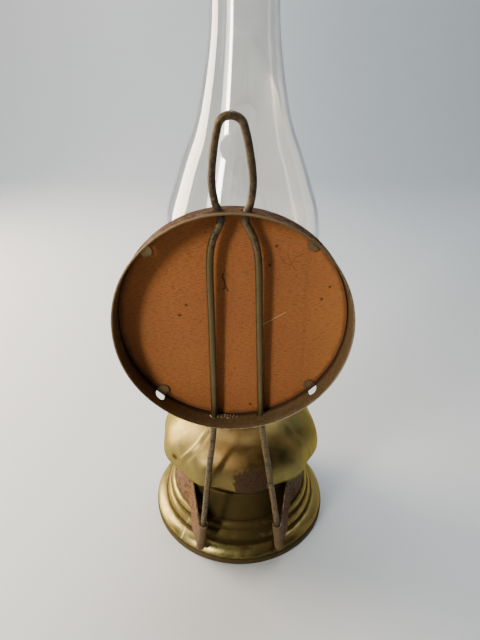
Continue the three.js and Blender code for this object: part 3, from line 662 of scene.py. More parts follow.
def rusty(clean, rust, dark, amount, shine, metallic, blots=0.0):
    """Bare steel or tin gone brown: a clean tone, rust in clouds and fine grains, dark pits, and
    dark red blots a millimetre or so across."""

    def build(tree):
        rusted = attribute(tree, "rusted")
        stain = faded(effect(tree, "clouds", "Stain"), 0.0, 1.0, 0.35, 1.0) * rusted
        fine = effect(tree, "clouds", "Fine")
        spots = effect(tree, "specks", Amount=amount) * rusted
        grain = noise(placed(tree), 750.0, 3.0, 0.6)
        spread = noise(placed(tree, shift=(1, 4, 2)), 330.0, 4.0, 0.65)
        tone = coated(mixed(stain * 0.75, clean, rust),
                      (faded(grain, 0.53, 0.6, 0.0, 0.8) * rusted, dark),
                      (faded(spread, 0.52, 0.57, 0.0, blots) * rusted, (0.045, 0.014, 0.008)),
                      # pale coat: bare metal, and a painted highlight on the reflector's lower
                      # right edge
                      (effect(tree, "wear_and_highlight") * 0.6, (0.4, 0.34, 0.24)),
                      # dark coat: soil, and painted shade on the reflector's top outside
                      (effect(tree, "grime_and_shade") * 0.7, dark), (spots, [c * 0.6 for c in dark]))
        rough = faded(fine, 0.3, 0.7, shine, shine + 0.2) + stain * 0.12 + spots * 0.2
        metal = metallic - stain * (metallic * 0.8) - spots * 0.5
        return {"Base Color": tone, "Roughness": rough.clamped(), "Metallic": metal.clamped(),
                "Normal": bumped(grain * 0.5 + spots * -0.8 + fine, 0.6, 0.00018)}

    return build


# Lines on the card, as (x, z) seen from the back
CARD_THREAD = (((-10.8, 219.7), (-11.3, 218), (-10, 215.7), (-9.8, 213.4), (-9, 211.6),
                (-10.6, 211.3)), ((-9, 211.6), (-8.2, 209.9)))
CARD_SPOTS = (((-31.2, 201.4), (-31, 201.2)), ((-35.3, 195.2), (-34.8, 195)),
              ((17.2, 235.4), (17, 235.2)), ((43.1, 205.4), (42.8, 205.2)),
              ((5.1, 134.5), (5.3, 134.3)), ((13.8, 224.9), (14, 224.6)))
CARD_SCRAWL = (((19.5, 229.5), (21.5, 226), (24.5, 225), (27, 227.5), (30, 226.5)),
               ((23, 231), (25, 225.5), (28, 222)), ((26.5, 229), (31, 231)),
               ((40.5, 179), (44, 182)), ((-0.5, 221), (2.5, 220.5)), ((-2, 187.5), (1, 187)))
CARD_HAIR = (((10.8, 189.2), (16.3, 192.4), (23.4, 196.8)),)
CARD_CREASE = (((33.5, 240), (35.5, 145)),)


def pressed_card(tree):
    """Orange-brown pressed card: fine fibres lying all ways, dark dashes and specks, a few stains,
    a dark thread and a pale hair, with painted light on its right side and painted shade at
    its edge."""
    layers, dashes = [], []
    for turn in (8, 66, 124):
        place = placed(tree, (420, 1, 3600), (0, turn, 0), (turn * 0.1, 0, 0))
        layers.append(noise(place, 1.0, 3.0, 0.6))
        place = placed(tree, (330, 1, 1700), (0, turn + 20, 0), (turn * 0.3, 0, 1))
        dashes.append(faded(noise(place, 1.0, 1.0), 0.63, 0.69))
    fibres = (layers[0] + layers[1] + layers[2]) / 3.0
    place = placed(tree)
    x, _, z = axes(place)
    blotch = noise(place, 30.0, 4.0, 0.6)
    cells = add(tree, "TexVoronoi", {"Vector": place, "Scale": 105.0, "Randomness": 1.0})
    chance = Signal(add(tree, "SeparateColor", {0: Signal(cells, "Color")}))
    gap = Signal(cells, "Distance") - maths("POWER", chance, 4.0) * 0.1
    specks = faded(gap, 0.0, 0.035, 1.0, 0.0)
    dark = largest(specks, largest(*dashes) * 0.5, strokes(x, z, CARD_THREAD, 1.3),
                   strokes(x, z, CARD_SPOTS, 2.2), strokes(x, z, CARD_SCRAWL, 0.9) * 0.45)
    tone = coated(mixed(faded(fibres, 0.4, 0.6), (0.245, 0.08, 0.019), (0.365, 0.136, 0.038)),
                  (faded(blotch, 0.4, 0.62, 0.0, 0.45), (0.27, 0.095, 0.032)),
                  # painted light: the card's right side paler and more orange
                  (faded(x, 0.03, 0.06, 0.0, 0.5), (0.46, 0.19, 0.045)),
                  (strokes(x, z, CARD_CREASE, 2.4) * 0.18, (0.16, 0.07, 0.03)),
                  (dark * 0.8, (0.06, 0.026, 0.012)),
                  (strokes(x, z, CARD_HAIR, 0.5) * 0.7, (0.62, 0.4, 0.2)),
                  # painted shade: the card's edge darkened where the mesh says so
                  (effect(tree, "grime_and_shade") * 0.6, (0.09, 0.04, 0.02)))
    return {"Base Color": tone, "Normal": bumped(fibres + blotch * 0.6, 0.5, 0.0002)}


def silvered(tree):
    """A mirror's silver behind glass: even, with brown spots of age towards the edge."""
    place = placed(tree)
    age = attribute(tree, "dirt_and_shade") * 0.5 + noise(place, 160.0, 4.0, 0.7) * 0.7
    spoiled = faded(age, 0.62, 0.8)
    rough = faded(noise(place, 40.0, 3.0), 0.4, 0.7, 0.02, 0.07) + spoiled * 0.4
    return {"Base Color": mixed(spoiled, (0.82, 0.84, 0.84), (0.2, 0.14, 0.09)),
            "Roughness": rough, "Metallic": 1.0 - spoiled * 0.7}


def woven(tree):
    """A wick's flat braid: ribs along Z, 0.0014 apart, and slanting rows, 0.0011 apart, charred
    brown and black at the top."""
    place = Signal(add(tree, "TexCoord"), "Object")
    x, _, z = axes(place)
    ribs = maths("SINE", x * (TAU / 0.0014))
    rows = maths("SINE", z * (TAU / 0.0011) + abs(ribs) * 0.35 * 6.0)
    weave = ribs * 0.25 + rows * 0.25 + 0.5
    fuzz = noise(place, 2400.0, 3.0, 0.7)
    char = z + noise(place, 300.0, 3.0) * 0.003
    tone = coated(mixed(weave, (0.45, 0.38, 0.25), (0.8, 0.74, 0.58)),
                  (faded(fuzz, 0.4, 0.8, 0.0, 0.4), (0.62, 0.52, 0.34)),
                  (faded(char, 0.1385, 0.144), (0.05, 0.03, 0.02)),
                  (faded(char, 0.1442, 0.1452), (0.012, 0.011, 0.01)))
    return {"Base Color": tone, "Normal": bumped(weave + fuzz * 0.4, 0.8, 0.0003)}


def blown_glass(tree):
    """Clear drawn glass with slow waves in its thickness and a thin film of dust."""
    slow = noise(placed(tree, scale=(1, 1, 0.35)), 45.0, 2.0, 0.4)
    film = noise(placed(tree), 60.0, 4.0, 0.6)
    return {"Roughness": faded(film, 0.45, 0.8, 0.015, 0.06), "Normal": bumped(slow, 0.3, 0.0008)}


finished("foot_brass", plated(OLIVE, (0.3, 0.23, 0.08), 0.25, -0.1, 0.4, 0.06, foot_marks),
         Specular_Tint=(0.9, 0.76, 0.45, 1))
finished("font_brass", plated((0.225, 0.19, 0.068), (0.26, 0.192, 0.068), 0.29, -0.15, 0.3, 0.05,
                              worn_patch),
         Specular_IOR_Level=0.15, Specular_Tint=(0.85, 0.74, 0.42, 1))
finished("font_underside", plated((0.24, 0.18, 0.07), (0.16, 0.1, 0.05), 0.42, 0.4, 0.5))
finished("burner_brass", plated((0.47, 0.36, 0.14), (0.36, 0.24, 0.09), 0.27, 0.2, 0.6))
finished("knob_brass", plated((0.52, 0.41, 0.17), (0.45, 0.33, 0.13), 0.24, 0.1, 0.8))
finished("strap_steel", rusty((0.13, 0.092, 0.048), (0.175, 0.08, 0.028), (0.05, 0.02, 0.011),
                              0.1, 0.5, 0.5, 0.6), Specular_IOR_Level=0.15)
finished("wire_steel", rusty((0.135, 0.103, 0.044), (0.125, 0.075, 0.026), (0.03, 0.016, 0.009),
                             0.4, 0.3, 0.85, 0.1))
finished("gear_steel", rusty((0.4, 0.38, 0.34), (0.28, 0.22, 0.16), (0.08, 0.05, 0.03),
                             0.1, 0.35, 0.9))
finished("rim_tin", rusty((0.17, 0.118, 0.058), (0.165, 0.088, 0.032), (0.05, 0.02, 0.009),
                          0.35, 0.45, 0.5, 1.0), Specular_IOR_Level=0.1)
finished("mirror", silvered)
finished("cardboard", pressed_card, Roughness=0.93, Specular_IOR_Level=0.25)
finished("wick_cotton", woven, Roughness=0.95, Sheen_Weight=0.4)
finished("chimney_glass", blown_glass, Base_Color=(0.99, 0.975, 0.94, 1), Transmission_Weight=1.0,
         IOR=1.47, Coat_Weight=1.0, Coat_IOR=1.75, Coat_Roughness=0.02)
finished("flakes", Base_Color=(0.27, 0.19, 0.12, 1), Roughness=0.8)


# ---------------------------------------------------------------- foot and font


FOOT_SIDE = np.vstack([swell(FOOT_EDGE, FOOT_CREASES[0], 1.6, 16),
                       *[swell(a, b, 1.3, 10)[1:] for a, b in zip(FOOT_CREASES, FOOT_CREASES[1:])]])


def foot_height(r):
    """The height of the foot's outside at radii, from its creases and swelled lines."""
    whole = np.vstack([FOOT_SIDE, NECK_LOW])[::-1]
    return np.interp(r, whole[:, 0], whole[:, 1])


def make_foot():
    """The walled outline of hem, swelled steps and neck, turned about Z, with slow dents. The
    creases are soiled and the hem darker, the neck under the font carries painted shade and the
    back of the steps a painted shadow, and the swells are rubbed bare."""
    hem = line((64.6, 0), (66.9, 0), (67.6, 0.6), (67.6, 4.2), (67.1, 4.7))
    outer = np.vstack([hem, FOOT_SIDE[1:], line(NECK_LOW, NECK_HIGH, (45.0, 45.7), (37.8, 45.7))])
    points, faces = revolve(rounded(walled(outer, SHEET), 0.7), 288)
    profile = section(points)
    r, z = profile.T
    creased = near(profile, [*FOOT_CREASES, NECK_LOW, (67.2, 4.8)], 1.7)
    # painted shade: the neck darkened just under the font
    painted_shade_under_font = near(profile, [(46, 43.5), (45.6, 45)], 2.4)
    dirt_and_shade = np.maximum(np.maximum(creased, painted_shade_under_font), 1.2 * (z < 4.4) * (r > 66))
    # painted shadow: the middle of the steps on the back side darkened
    behind = bell(turns_of(points), 0, 0.75) * ramp(z, 9, 13) * (1 - ramp(z, 24, 27))
    wear_and_highlight = near(profile, [(67.6, 4), (57.4, 16), (53.9, 23.4)], 0.8) * 0.5
    points = push_out(points, waves(points, 46, 0.35, 3))
    new_piece("stepped_foot", points, faces, "lamp", "foot_brass", ["foot"],
              {"dirt_and_shade": np.clip(dirt_and_shade + 0.7 * behind, 0, 1.2), "wear_and_highlight": wear_and_highlight})


def lobe_pull(points):
    """How far the font's skin lies in at each groove: 4.6 sin(pi sqrt(level)) g millimetres, where
    g is 1 - hypot(cos(phase), s) / hypot(1, s). The phase is a right angle at the grooves beside a
    lobe, and s is the softness of a groove, which is sharper low down."""
    turn = np.degrees(turns_of(points)) - LOBE_TURN
    share = np.mod(turn * LOBE_PAIRS / 360, 1)
    small, large = share / SMALL_SHARE, (share - SMALL_SHARE) / (1 - SMALL_SHARE)
    phase = math.pi * (np.where(share < SMALL_SHARE, small, large) - 0.5)
    level = ramp(points[:, 2], FONT_LOW, FONT_TOP)
    soft = 0.25 + 0.9 * level
    groove = 1 - np.hypot(np.cos(phase), soft) / np.hypot(1, soft)
    return 4.6 * np.sin(math.pi * np.sqrt(level)) * groove, groove, level


def dent(points, turn, height, across, up, depth):
    """A dent: depth exp(-(arc / across)^2 - (rise / up)^2), arc and rise from its middle."""
    away = (np.degrees(turns_of(points)) - turn + 180) % 360 - 180
    return depth * bell(np.radians(away) * DENT_RADIUS, 0, across) * bell(points[:, 2], height, up)


def crease(points, path, width, height):
    """A folded line: height exp(-(arc / width)^2), arc from the path's turn at each height, gone
    within a millimetre past the path's ends."""
    turns, heights = np.array(path).T
    away = np.degrees(turns_of(points)) - np.interp(points[:, 2], heights, turns)
    past = np.maximum(heights[0] - points[:, 2], points[:, 2] - heights[-1])
    arc_away = np.radians(away) * DENT_RADIUS
    return height * bell(arc_away, 0, width) * bell(np.maximum(past, 0), 0, 1)


DENT_RADIUS, PATCH_RADIUS = 55, 58  # these turn the font's turns into arcs
FONT_DENTS = [(-52, 71, 4, 3, 0.7), (-48, 74, 3, 2.5, -0.4), (-39, 66, 1.6, 5, 0.7),
              (31, 65.5, 1.6, 4, 0.5)]
LEFT_CREASE = line((-36, 60), (-40.8, 67.3), (-45.8, 71.2), (-45.1, 75.5), (-40.2, 82.3),
                   (-37, 87.2), (-36.4, 92.4))
RIGHT_CREASE = line((62, 66), (61.1, 72.6), (56.3, 82.4), (52, 88))
PATCH = line((-6, 75.8), (-2, 77.2), (4.4, 78.5), (8.3, 79.5), (16, 79.2), (19.5, 76), (18, 66),
             (17.5, 56), (-2.5, 56), (-3, 66))


def make_font():
    """The walled outline of a quadratic curve below the equator and a quarter of an ellipse above
    it, turned about Z and pulled in by the grooves, dents, creases, slow waves and a seam."""
    t = np.linspace(0, 1, 30)[:, None]
    a, b, c = line((42.5, FONT_LOW), (57.6, 58), (FONT_RADIUS, FONT_EQUATOR))
    under = (1 - t) ** 2 * a + 2 * t * (1 - t) * b + t * t * c
    over = arc((18.6, FONT_EQUATOR), FONT_RADIUS - 18.6, FONT_TOP - FONT_EQUATOR, 0, 90, 46)
    skin = np.vstack([line((38, FONT_LOW)), under, over[1:]])
    points, faces = revolve(rounded(walled(skin, SHEET), 0.4, 2, least=40), 420)
    r, z = section(points).T
    pull, groove, level = lobe_pull(points)
    for values in FONT_DENTS:
        pull += dent(points, *values)
    for path, width, height in ((LEFT_CREASE, 1.7, -0.6), (LEFT_CREASE + [3.6, 0], 2, 0.4),
                                (RIGHT_CREASE, 1.3, -0.4)):
        pull += crease(points, path, width, height)
    pull += waves(points, 55, 0.2, 8) * np.sin(math.pi * level)
    pull -= 0.35 * bell(z, 60.5, 0.9) * (r > 50)
    unrolled = np.stack([turns_of(points) * PATCH_RADIUS, z], 1)
    out = distance_out(unrolled, PATCH * [math.radians(PATCH_RADIUS), 1])
    patch = np.where(points[:, 1] < 0, np.clip(0.5 - out / 8, 0, 1), 0)
    # darker in the low grooves and in the crumpled dent on the left
    dirt_and_shade = np.clip((groove - 0.7) * 2.2, 0, 1) * bell(level, 0.3, 0.12) * 0.3
    dirt_and_shade += dent(points, -54, 71, 3.4, 2, 0.75)
    # painted shade on the font's bottom band just above the neck; the top ring is darker round the
    # collar
    dirt_and_shade += bell(level, 0.02, 0.06) * 0.7 + bell(level, 1, 0.02) * 0.7
    wear_and_highlight = bell(level, 0.36, 0.05) * 0.35 * (1 - groove)
    new_piece("lobed_font", push_out(points, -pull), faces, "lamp", "font_brass", ["font_shell"],
              {"dirt_and_shade": np.clip(dirt_and_shade, 0, 1), "wear_and_highlight": wear_and_highlight, "patch": patch})
    plate = line((0, 47.1), (12, 47.1), (13, 47.5), (30, 47.5), (31, 47.1), (39.4, 47.1),
                 (40.6, 48.3))
    points, faces = revolve(rounded(walled(plate, SHEET), 0.6), 160, closed=False)
    new_piece("font_plate", points, faces, "lamp", "font_underside", ["font_floor"],
              dirt_near(points, [(40.6, 48.3), (13, 47.5)], 1.5))


def make_collar():
    """A flanged ring, turned about Z, with ridges for its threads outside and in the bore."""
    low, flange, top = FONT_TOP - 4, COLLAR_SEAT + 1.2, COLLAR_TOP
    outer = [(18.3, low), (18.3, COLLAR_SEAT), (24, COLLAR_SEAT), (24, flange), (20.6, flange)]
    ridges = [(20 + 0.55 * (k % 2), flange + 0.9 + 0.6 * k) for k in range(7)]
    head = [(20, top - 1.8), (20.9, top - 1.1), (20.9, top - 0.7), (20.2, top), (17, top)]
    bore = [(17 + 0.4 * (k % 2), top - 1.2 - 0.75 * k) for k in range(13)]
    points, faces = revolve(rounded(line(*outer, *ridges, *head, *bore, (17, low)), 0.3, 3), 160)
    new_piece("threaded_collar", points, faces, "lamp", "burner_brass", ["font_collar"],
              dirt_near(points, [(20.3, flange + 0.3), (24, COLLAR_SEAT)], 1.2))


# ---------------------------------------------------------------- strap and wire


def sleeve_middle(side, z):
    """The middle of a sleeve's bore at heights."""
    level = (z - SLEEVE_LOW) / (SLEEVE_TOP - SLEEVE_LOW)
    spread = SLEEVES_LOW_APART + (SLEEVES_TOP_APART - SLEEVES_LOW_APART) * level
    return np.stack([side * spread / 2, 0 * z - SLEEVE_BACK, z], -1)


def neck_place(turn, z):
    """The strap's middle on the neck: 0.8 outside the neck's cone."""
    (low_r, low_z), (high_r, high_z) = NECK_LOW, NECK_HIGH
    return around(low_r + (high_r - low_r) * (z - low_z) / (high_z - low_z) + 0.8, turn, z)


ROLL_TURNS = np.radians(np.arange(10, 323, 9))


def wing(side, rows):
    """A wing's columns from the neck to the sleeve, then those of its roll round the bore."""
    level = np.array([(STRAP_LOW + STRAP_HIGH) / 2])
    start, end = neck_place(side * WING_TURN, level)[0], sleeve_middle(side, level)[0]
    along = (end - start) * [1, 1, 0]
    along /= np.linalg.norm(along)
    normal = np.array([-along[1] * side, along[0] * side, 0])
    made = []
    for share in np.concatenate([np.linspace(0, 0.9, 26), np.linspace(0.92, 1, 14)]):
        middle = start + (end + normal * ROLL_RADIUS - start) * share
        over = foot_height(np.hypot(middle[0], middle[1]) - STRAP_WALL) + 0.7
        foot = min(max(over, SLEEVE_LOW + 4.5), STRAP_LOW)
        foot -= (foot - SLEEVE_LOW) * max(0, (share - 0.94) / 0.06) ** 8
        top = STRAP_HIGH - 10.4 * share ** 1.4 - 0.25 * math.sin(share * 9) * share
        z = foot + (top - foot) * rows
        there = sleeve_middle(side, z) + normal * ROLL_RADIUS
        made.append(neck_place(side * WING_TURN, z) * (1 - share) + there * share)
    z = SLEEVE_LOW + (SLEEVE_TOP - 0.4 - SLEEVE_LOW) * rows
    for angle in ROLL_TURNS:
        radius = ROLL_RADIUS - 0.25 * max(0, angle - 4.9)
        way = normal * math.cos(angle) + along * math.sin(angle)
        nick = 0.5 * bell(angle, 2.2, 0.25) if side > 0 else 0
        made.append(sleeve_middle(side, z - nick * rows) + way * radius)
    return made


def make_strap():
    """One bent sheet, column by column: a roll and wing, the neck's front, a wing and roll. The
    rolls have little rust."""
    rows = np.linspace(0, 1, 15)
    turns = np.linspace(WING_TURN, TAU - WING_TURN, 150)[1:-1]
    front = [neck_place(t, STRAP_LOW + (STRAP_HIGH - STRAP_LOW) * rows) for t in turns]
    grid = np.array([*wing(1, rows)[::-1], *front, *wing(-1, rows)])
    count, height = grid.shape[:2]
    points, faces = thickened(grid.reshape(-1, 3), grid_faces(count, height)[:, ::-1], STRAP_WALL)
    share = np.tile(rows, 2 * count)
    wear_and_highlight = np.maximum(bell(share, 0, 0.03), bell(share, 1, 0.03))
    rusted, roll = np.ones(count), len(ROLL_TURNS) + 1
    rusted[:roll] = rusted[-roll:] = 0.2
    new_piece("neck_strap", points, faces, "lamp", "strap_steel", ["bracket_strap"],
              {"wear_and_highlight": wear_and_highlight * 0.55, "dirt_and_shade": 0 * wear_and_highlight,
               "rusted": np.tile(np.repeat(rusted, height), 2)}, sharp=40)


def wire_point(side, spread, z):
    """A point of the wire with its legs a spread apart; it leans to one side, and back between
    the rim's low holes and a height of 236."""
    back = np.interp(z, [SLEEVE_TOP, RIM_LOW_HOLE, 236], [SLEEVE_BACK, 59.6, 62.6])
    return (-max(z - SLEEVE_TOP, 0) * WIRE_LEAN + side * spread / 2, -back, z)


def wire_leg(side):
    """A leg's bends, from the foot of its sleeve to the loop."""

    def mix(a, b, share):
        return a + (b - a) * share

    low, high, bend = 28.4, 24.4, 12  # the legs' spread at three heights
    splayed = [wire_point(side, mix(SLEEVES_TOP_APART, low, s), mix(SLEEVE_TOP, RIM_LOW_HOLE, s))
               for s in (0.5, 0.92)]
    return [*sleeve_middle(side, np.array([SLEEVE_LOW, SLEEVE_TOP])), *splayed,
            wire_point(side, low, mix(RIM_LOW_HOLE, RIM_HEIGHT, 0.1)),
            wire_point(side, 26.2, RIM_HEIGHT), wire_point(side, high, 232),
            wire_point(side, mix(high, bend, 0.26), 240),
            wire_point(side, bend, RIM_HEIGHT + RIM_RADIUS - 4),
            wire_point(side, mix(bend, 19.6, 0.68), 259), wire_point(side, 19.6, 270)]


def smooth_route(knots, steps):
    """The centripetal Catmull-Rom curve through points, with steps to a span."""
    knots = np.vstack([2 * knots[0] - knots[1], knots, 2 * knots[-1] - knots[-2]])
    made = []
    t = (np.arange(steps) / steps)[:, None]
    for a, b, c, d in zip(knots, knots[1:], knots[2:], knots[3:]):
        ab, bc, cd = (math.sqrt(np.linalg.norm(q - p)) for p, q in ((a, b), (b, c), (c, d)))
        m = ((b - a) / ab - (c - a) / (ab + bc) + (c - b) / bc) * bc
        n = ((c - b) / bc - (d - b) / (bc + cd) + (d - c) / cd) * bc
        made.append(hermite(b, c, m, n, t))
    return np.vstack([*made, knots[-2:-1]])


def hermite(b, c, m, n, t):
    """The cubic from b to c that leaves with slope m and arrives with slope n."""
    return b + m * t + (3 * (c - b) - 2 * m - n) * t**2 + (2 * (b - c) + m + n) * t**3


LOOP_TOP = [wire_point(1, 2 * 6.6 * math.cos(a), 291.4 + 6.6 * math.sin(a))
            for a in np.radians(np.linspace(180, 0, 5))]
WIRE = smooth_route(np.array([*wire_leg(-1), *LOOP_TOP, *wire_leg(1)[::-1]]), 14)


def make_wire():
    """A tube along the wire's route, a little lumpy, drawn in at its two ends."""
    sides = 24
    along = np.gradient(WIRE, axis=0)
    along /= np.linalg.norm(along, axis=1)[:, None]
    side = np.cross([0, 1, 0], along)
    side /= np.linalg.norm(side, axis=1)[:, None]
    turn = (np.arange(sides) / sides * TAU)[None, :, None]
    ring = side[:, None] * np.cos(turn) + np.cross(along, side)[:, None] * np.sin(turn)
    radius = np.full(len(WIRE), WIRE_RADIUS)
    radius[[0, -1]] = 1.55
    lumps = 1 + 0.03 * np.sin(WIRE[:, 2] * 0.9) * np.sin(WIRE[:, 2] * 0.37 + WIRE[:, 0])
    grid = WIRE[:, None] + ring * (radius * np.minimum(lumps, 1))[:, None, None]
    ends = [np.broadcast_to(WIRE[k], (1, sides, 3)) for k in (0, -1)]
    grid = np.concatenate([ends[0], grid, ends[1]])
    points = grid.reshape(-1, 3)
    z = points[:, 2]
    dirt_and_shade = 0.9 * bell(z, 36, 3) + 0.8 * bell(z, 254, 4) + 0.5 * (z > 262)
    rusted = np.where((z > 127) & (z < 235), 0.15, 1.0)
    new_piece("bent_wire", points, grid_faces(len(grid), sides, False, True), "lamp",
              "wire_steel", ["hanger_wire"],
              {"dirt_and_shade": np.clip(dirt_and_shade, 0, 1), "wear_and_highlight": 0 * z, "rusted": rusted})


# ---------------------------------------------------------------- reflector


def in_reflector(points):
    """From the reflector's own frame, its Z to the lamp's front and its turn 0 at the top."""
    x, y, z = points.T
    return np.stack([RIM_MIDDLE + x, z - RIM_BACK, RIM_HEIGHT - y], 1)


TAB_TURNS = [math.radians(42.5 + 90 * k) for k in range(4)]
TAB_HALF = 3.2


def rim_holes(profile):
    """The outlines of the four tab windows and of the wire's four ways through the wall."""
    straight, along = profile[1:-2, 1], lengths(profile)[1:-2]
    top = np.interp(12.5, straight, along)
    window = np.vstack([[TAB_HALF, top], arc((0, top - 3), TAB_HALF, TAB_HALF, 0, -180, 12),
                        [-TAB_HALF, top]])
    window[:, 1] = np.minimum(window[:, 1], top)
    holes = [rolled(window, turn, RIM_WALL) for turn in TAB_TURNS]
    out = np.hypot(WIRE[:, 0] - RIM_MIDDLE, WIRE[:, 2] - RIM_HEIGHT) - RIM_WALL
    for k in np.nonzero(out[:-1] * out[1:] < 0)[0]:
        step = WIRE[k + 1] - WIRE[k]
        here = WIRE[k] + step * out[k] / (out[k] - out[k + 1])
        turn = math.atan2(here[0] - RIM_MIDDLE, here[2] - RIM_HEIGHT)
        tangent = abs(step[0] * math.cos(turn) - step[2] * math.sin(turn))
        outward = abs(step[0] * math.sin(turn) + step[2] * math.cos(turn))
        depth = np.interp(here[1] + RIM_BACK, straight, along)
        stretch = 1 + 0.7 * tangent / max(outward, 1e-6)
        holes.append(rolled(arc((0, depth), 2.45 * stretch, 2.5, 0, 360, 24)[:-1], turn, RIM_WALL))
    return holes


def make_rim():
    """A bead, wall and lip turned about Z as a thin sheet with holes, and four bent tabs."""
    radius, depth = RIM_RADIUS, RIM_DEPTH
    back = line((radius - 0.6, 0.35), (radius - 0.1, 0.35), (radius + 0.15, 0.7),
                (radius + 0.05, 1.2), (RIM_WALL, 1.7))
    wall = line(*[(RIM_WALL, d) for d in np.linspace(2.6, depth - 2, 22)])
    lip = line((radius - 0.4, depth - 1.2), (radius - 0.8, depth - 0.6),
               (radius - 1.5, depth - 0.36), (radius - 3, depth - 0.35))
    profile = np.vstack([back, wall, lip])
    points, faces = turned_sheet(profile, 300, rim_holes(profile), 0.7, margin=0.45)
    parts = [(push_out(points, waves(points, 60, 0.25, 5)), faces)]
    tab = np.vstack([line((RIM_WALL, 15)), arc((radius - 1.15, 13.65), 0.8, 0.8, 0, -90, 6),
                     line((60.5, 12.8), (59.2, 12.75), (58.05, 12.7))])

    def half_width(done, left):
        """A tab's end is half a circle."""
        round_end = np.sqrt(np.maximum(TAB_HALF**2 - (TAB_HALF - left) ** 2, 0.0025))
        return np.where(left < TAB_HALF, round_end, TAB_HALF)

    parts += [bent_strip(tab, 30, half_width, 15, turn, 0.66) for turn in TAB_TURNS]
    points, faces = joined(parts)
    r, z = section(points).T
    inner = (r < radius - 0.4) & (z > 2)
    outside = (r > radius - 0.3) & (z > 1.6)
    # darker in the corner where the inner wall meets the card
    dirt_and_shade = inner * near(section(points), [(radius - 0.8, 13.2)], 2.2)
    # painted shade: the outside darkened towards the top
    dirt_and_shade += outside * 0.65 * np.clip(-points[:, 1] / radius, 0, 1)
    # painted highlight: the bare back edge made paler towards the lower right, over its even wear
    right = np.clip(points[:, 0] / radius * 0.8 + points[:, 1] / radius * 0.5, 0, 1)
    new_piece("cup_rim", in_reflector(points), faces, "lamp", "rim_tin", ["reflector_rim"],
              {"dirt_and_shade": np.clip(dirt_and_shade, 0, 1), "wear_and_highlight": bell(z, 0.2, 0.5) * (0.35 + 0.6 * right),
               "rusted": np.where(outside, 1.0, 0.2)}, sharp=38)


def make_crumbs():
    """Pale crumbs of card in the rim's bottom, between the wire's legs: lumps turned in six steps,
    at random places on the rim's inside."""
    random = np.random.default_rng(4)
    parts = []
    for k in range(16):
        size = random.uniform(0.3, 0.7)
        outline = size * line((0, -0.8), (0.75, -0.4), (0.8, 0.3), (0, 0.7))
        points, faces = revolve(outline, 6, closed=False)
        x, z = random.uniform(-11, 1 if k < 12 else 9), random.uniform(8.5, 12)
        y = math.sqrt((RIM_RADIUS - 0.7) ** 2 - x**2) - 0.45 * size
        parts.append((points * [1.3, 1, 0.8] + [x, y, z], faces))
    points, faces = joined(parts)
    new_piece("rim_crumbs", in_reflector(points), faces, "lamp", "flakes")


def make_discs():
    """The mirror and, behind it, the card, whose back is a little wavy."""
    radius, steps, back, front = 63.5, 240, 15.0, 16.4
    rings = np.vstack([line((0, back)), line(*[(r, back) for r in (20, 40, 50, 56, 60)]),
                       line((radius - 0.2, back), (radius, back + 0.2), (radius, front - 0.5),
                            (radius - 0.5, front)),
                       line(*[(r, front) for r in (60, 56, 50, 40, 20, 0)])])
    points, faces = revolve(rings, steps, closed=False)
    new_piece("mirror_disc", in_reflector(points), faces, "lamp", "mirror", ["mirror_glass"],
              {"dirt_and_shade": ramp(section(points)[:, 0], 50, 64) ** 2}, sharp=25)
    low, high = 13.5, 14.7
    radii = np.linspace(0, radius - 0.4, 34)
    outline = np.vstack([np.stack([radii, 0 * radii + low], 1),
                         line((radius - 0.12, low + 0.12), (radius, low + 0.4),
                              (radius, high - 0.3), (radius - 0.3, high), (40, high), (0, high))])
    points, faces = revolve(outline, steps, closed=False)
    r, z = section(points).T
    lift = 0.16 * np.clip(1 + waves(points, 34, 1.6, 11), 0, 2) * (r < 63)
    points[:, 2] += np.where(z < low + 0.1, lift, 0)
    # painted shade: the card's edge darkened next to the rim's wall
    new_piece("card_disc", in_reflector(points), faces, "lamp", "cardboard", ["cardboard_back"],
              {"dirt_and_shade": ramp(r, 57.5, 63.5) ** 2}, sharp=40)


# ---------------------------------------------------------------- burner


def oval(half_width, half_depth, count):
    """A flat oval's outline, rounded to half its depth at each end, evenly spaced from +X."""
    flat = half_width - half_depth
    ends = [((flat, 0), 0, 90), ((-flat, 0), 90, 270), ((flat, 0), 270, 360)]
    whole = np.vstack([arc(middle, half_depth, half_depth, a, b, 40) for middle, a, b in ends])
    at = np.linspace(0, lengths(whole)[-1], count + 1)[:-1]
    return np.stack(at_length(at, whole), 1)


def radial_oval(half_width, half_depth, turns):
    """The same oval at given turns: where a ray from the middle meets it."""
    flat = half_width - half_depth
    x, y = np.sin(turns), -np.cos(turns)
    to_side = half_depth / np.maximum(np.abs(y), 1e-9)
    bx = np.abs(x) * flat
    to_end = bx + np.sqrt(np.maximum(bx**2 - flat**2 + half_depth**2, 0))
    reach = np.where(np.abs(x) * to_side <= flat, to_side, to_end)
    return np.stack([x * reach, y * reach], 1)


def make_burner_base():
    """A cup whose floor runs in to the slot for the wick's tube: rings of points that go over
    from the outline's circle to the slot's oval, above and below."""
    steps, low, top = 160, BURNER_SEAT, BURNER_SEAT + 4.4
    turns = np.arange(steps) / steps * TAU
    outer = line((15.2, low - 7), (16.4, low - 7), (16.4, low), (20.9, low), (24.4, low + 2.2),
                 (24.4, top), (23.6, top), (23.6, low + 2.2), (20.1, FLOOR_TOP))
    slot = np.column_stack([radial_oval(9.95, 2.2, turns), 0 * turns])

    def ring(share, r, z):
        return slot * (1 - share) * [1, 1, 0] + around(r * share, turns, z)

    loops = [ring(1, r, z) for r, z in rounded(outer, 0.7, closed=False)]
    loops += [ring(share, 20.1, FLOOR_TOP) for share in (0.7, 0.4, 0.15, 0.0)]
    loops += [ring(share, 15.2, low) for share in (0.0, 0.3, 0.7, 1)]
    points = np.vstack(loops)
    new_piece("burner_cup", points, grid_faces(len(loops), steps, True, True), "burner",
              "burner_brass", ["burner_base"],
              dirt_near(points, [(21.5, FLOOR_TOP), (24.4, top)], 1.6))


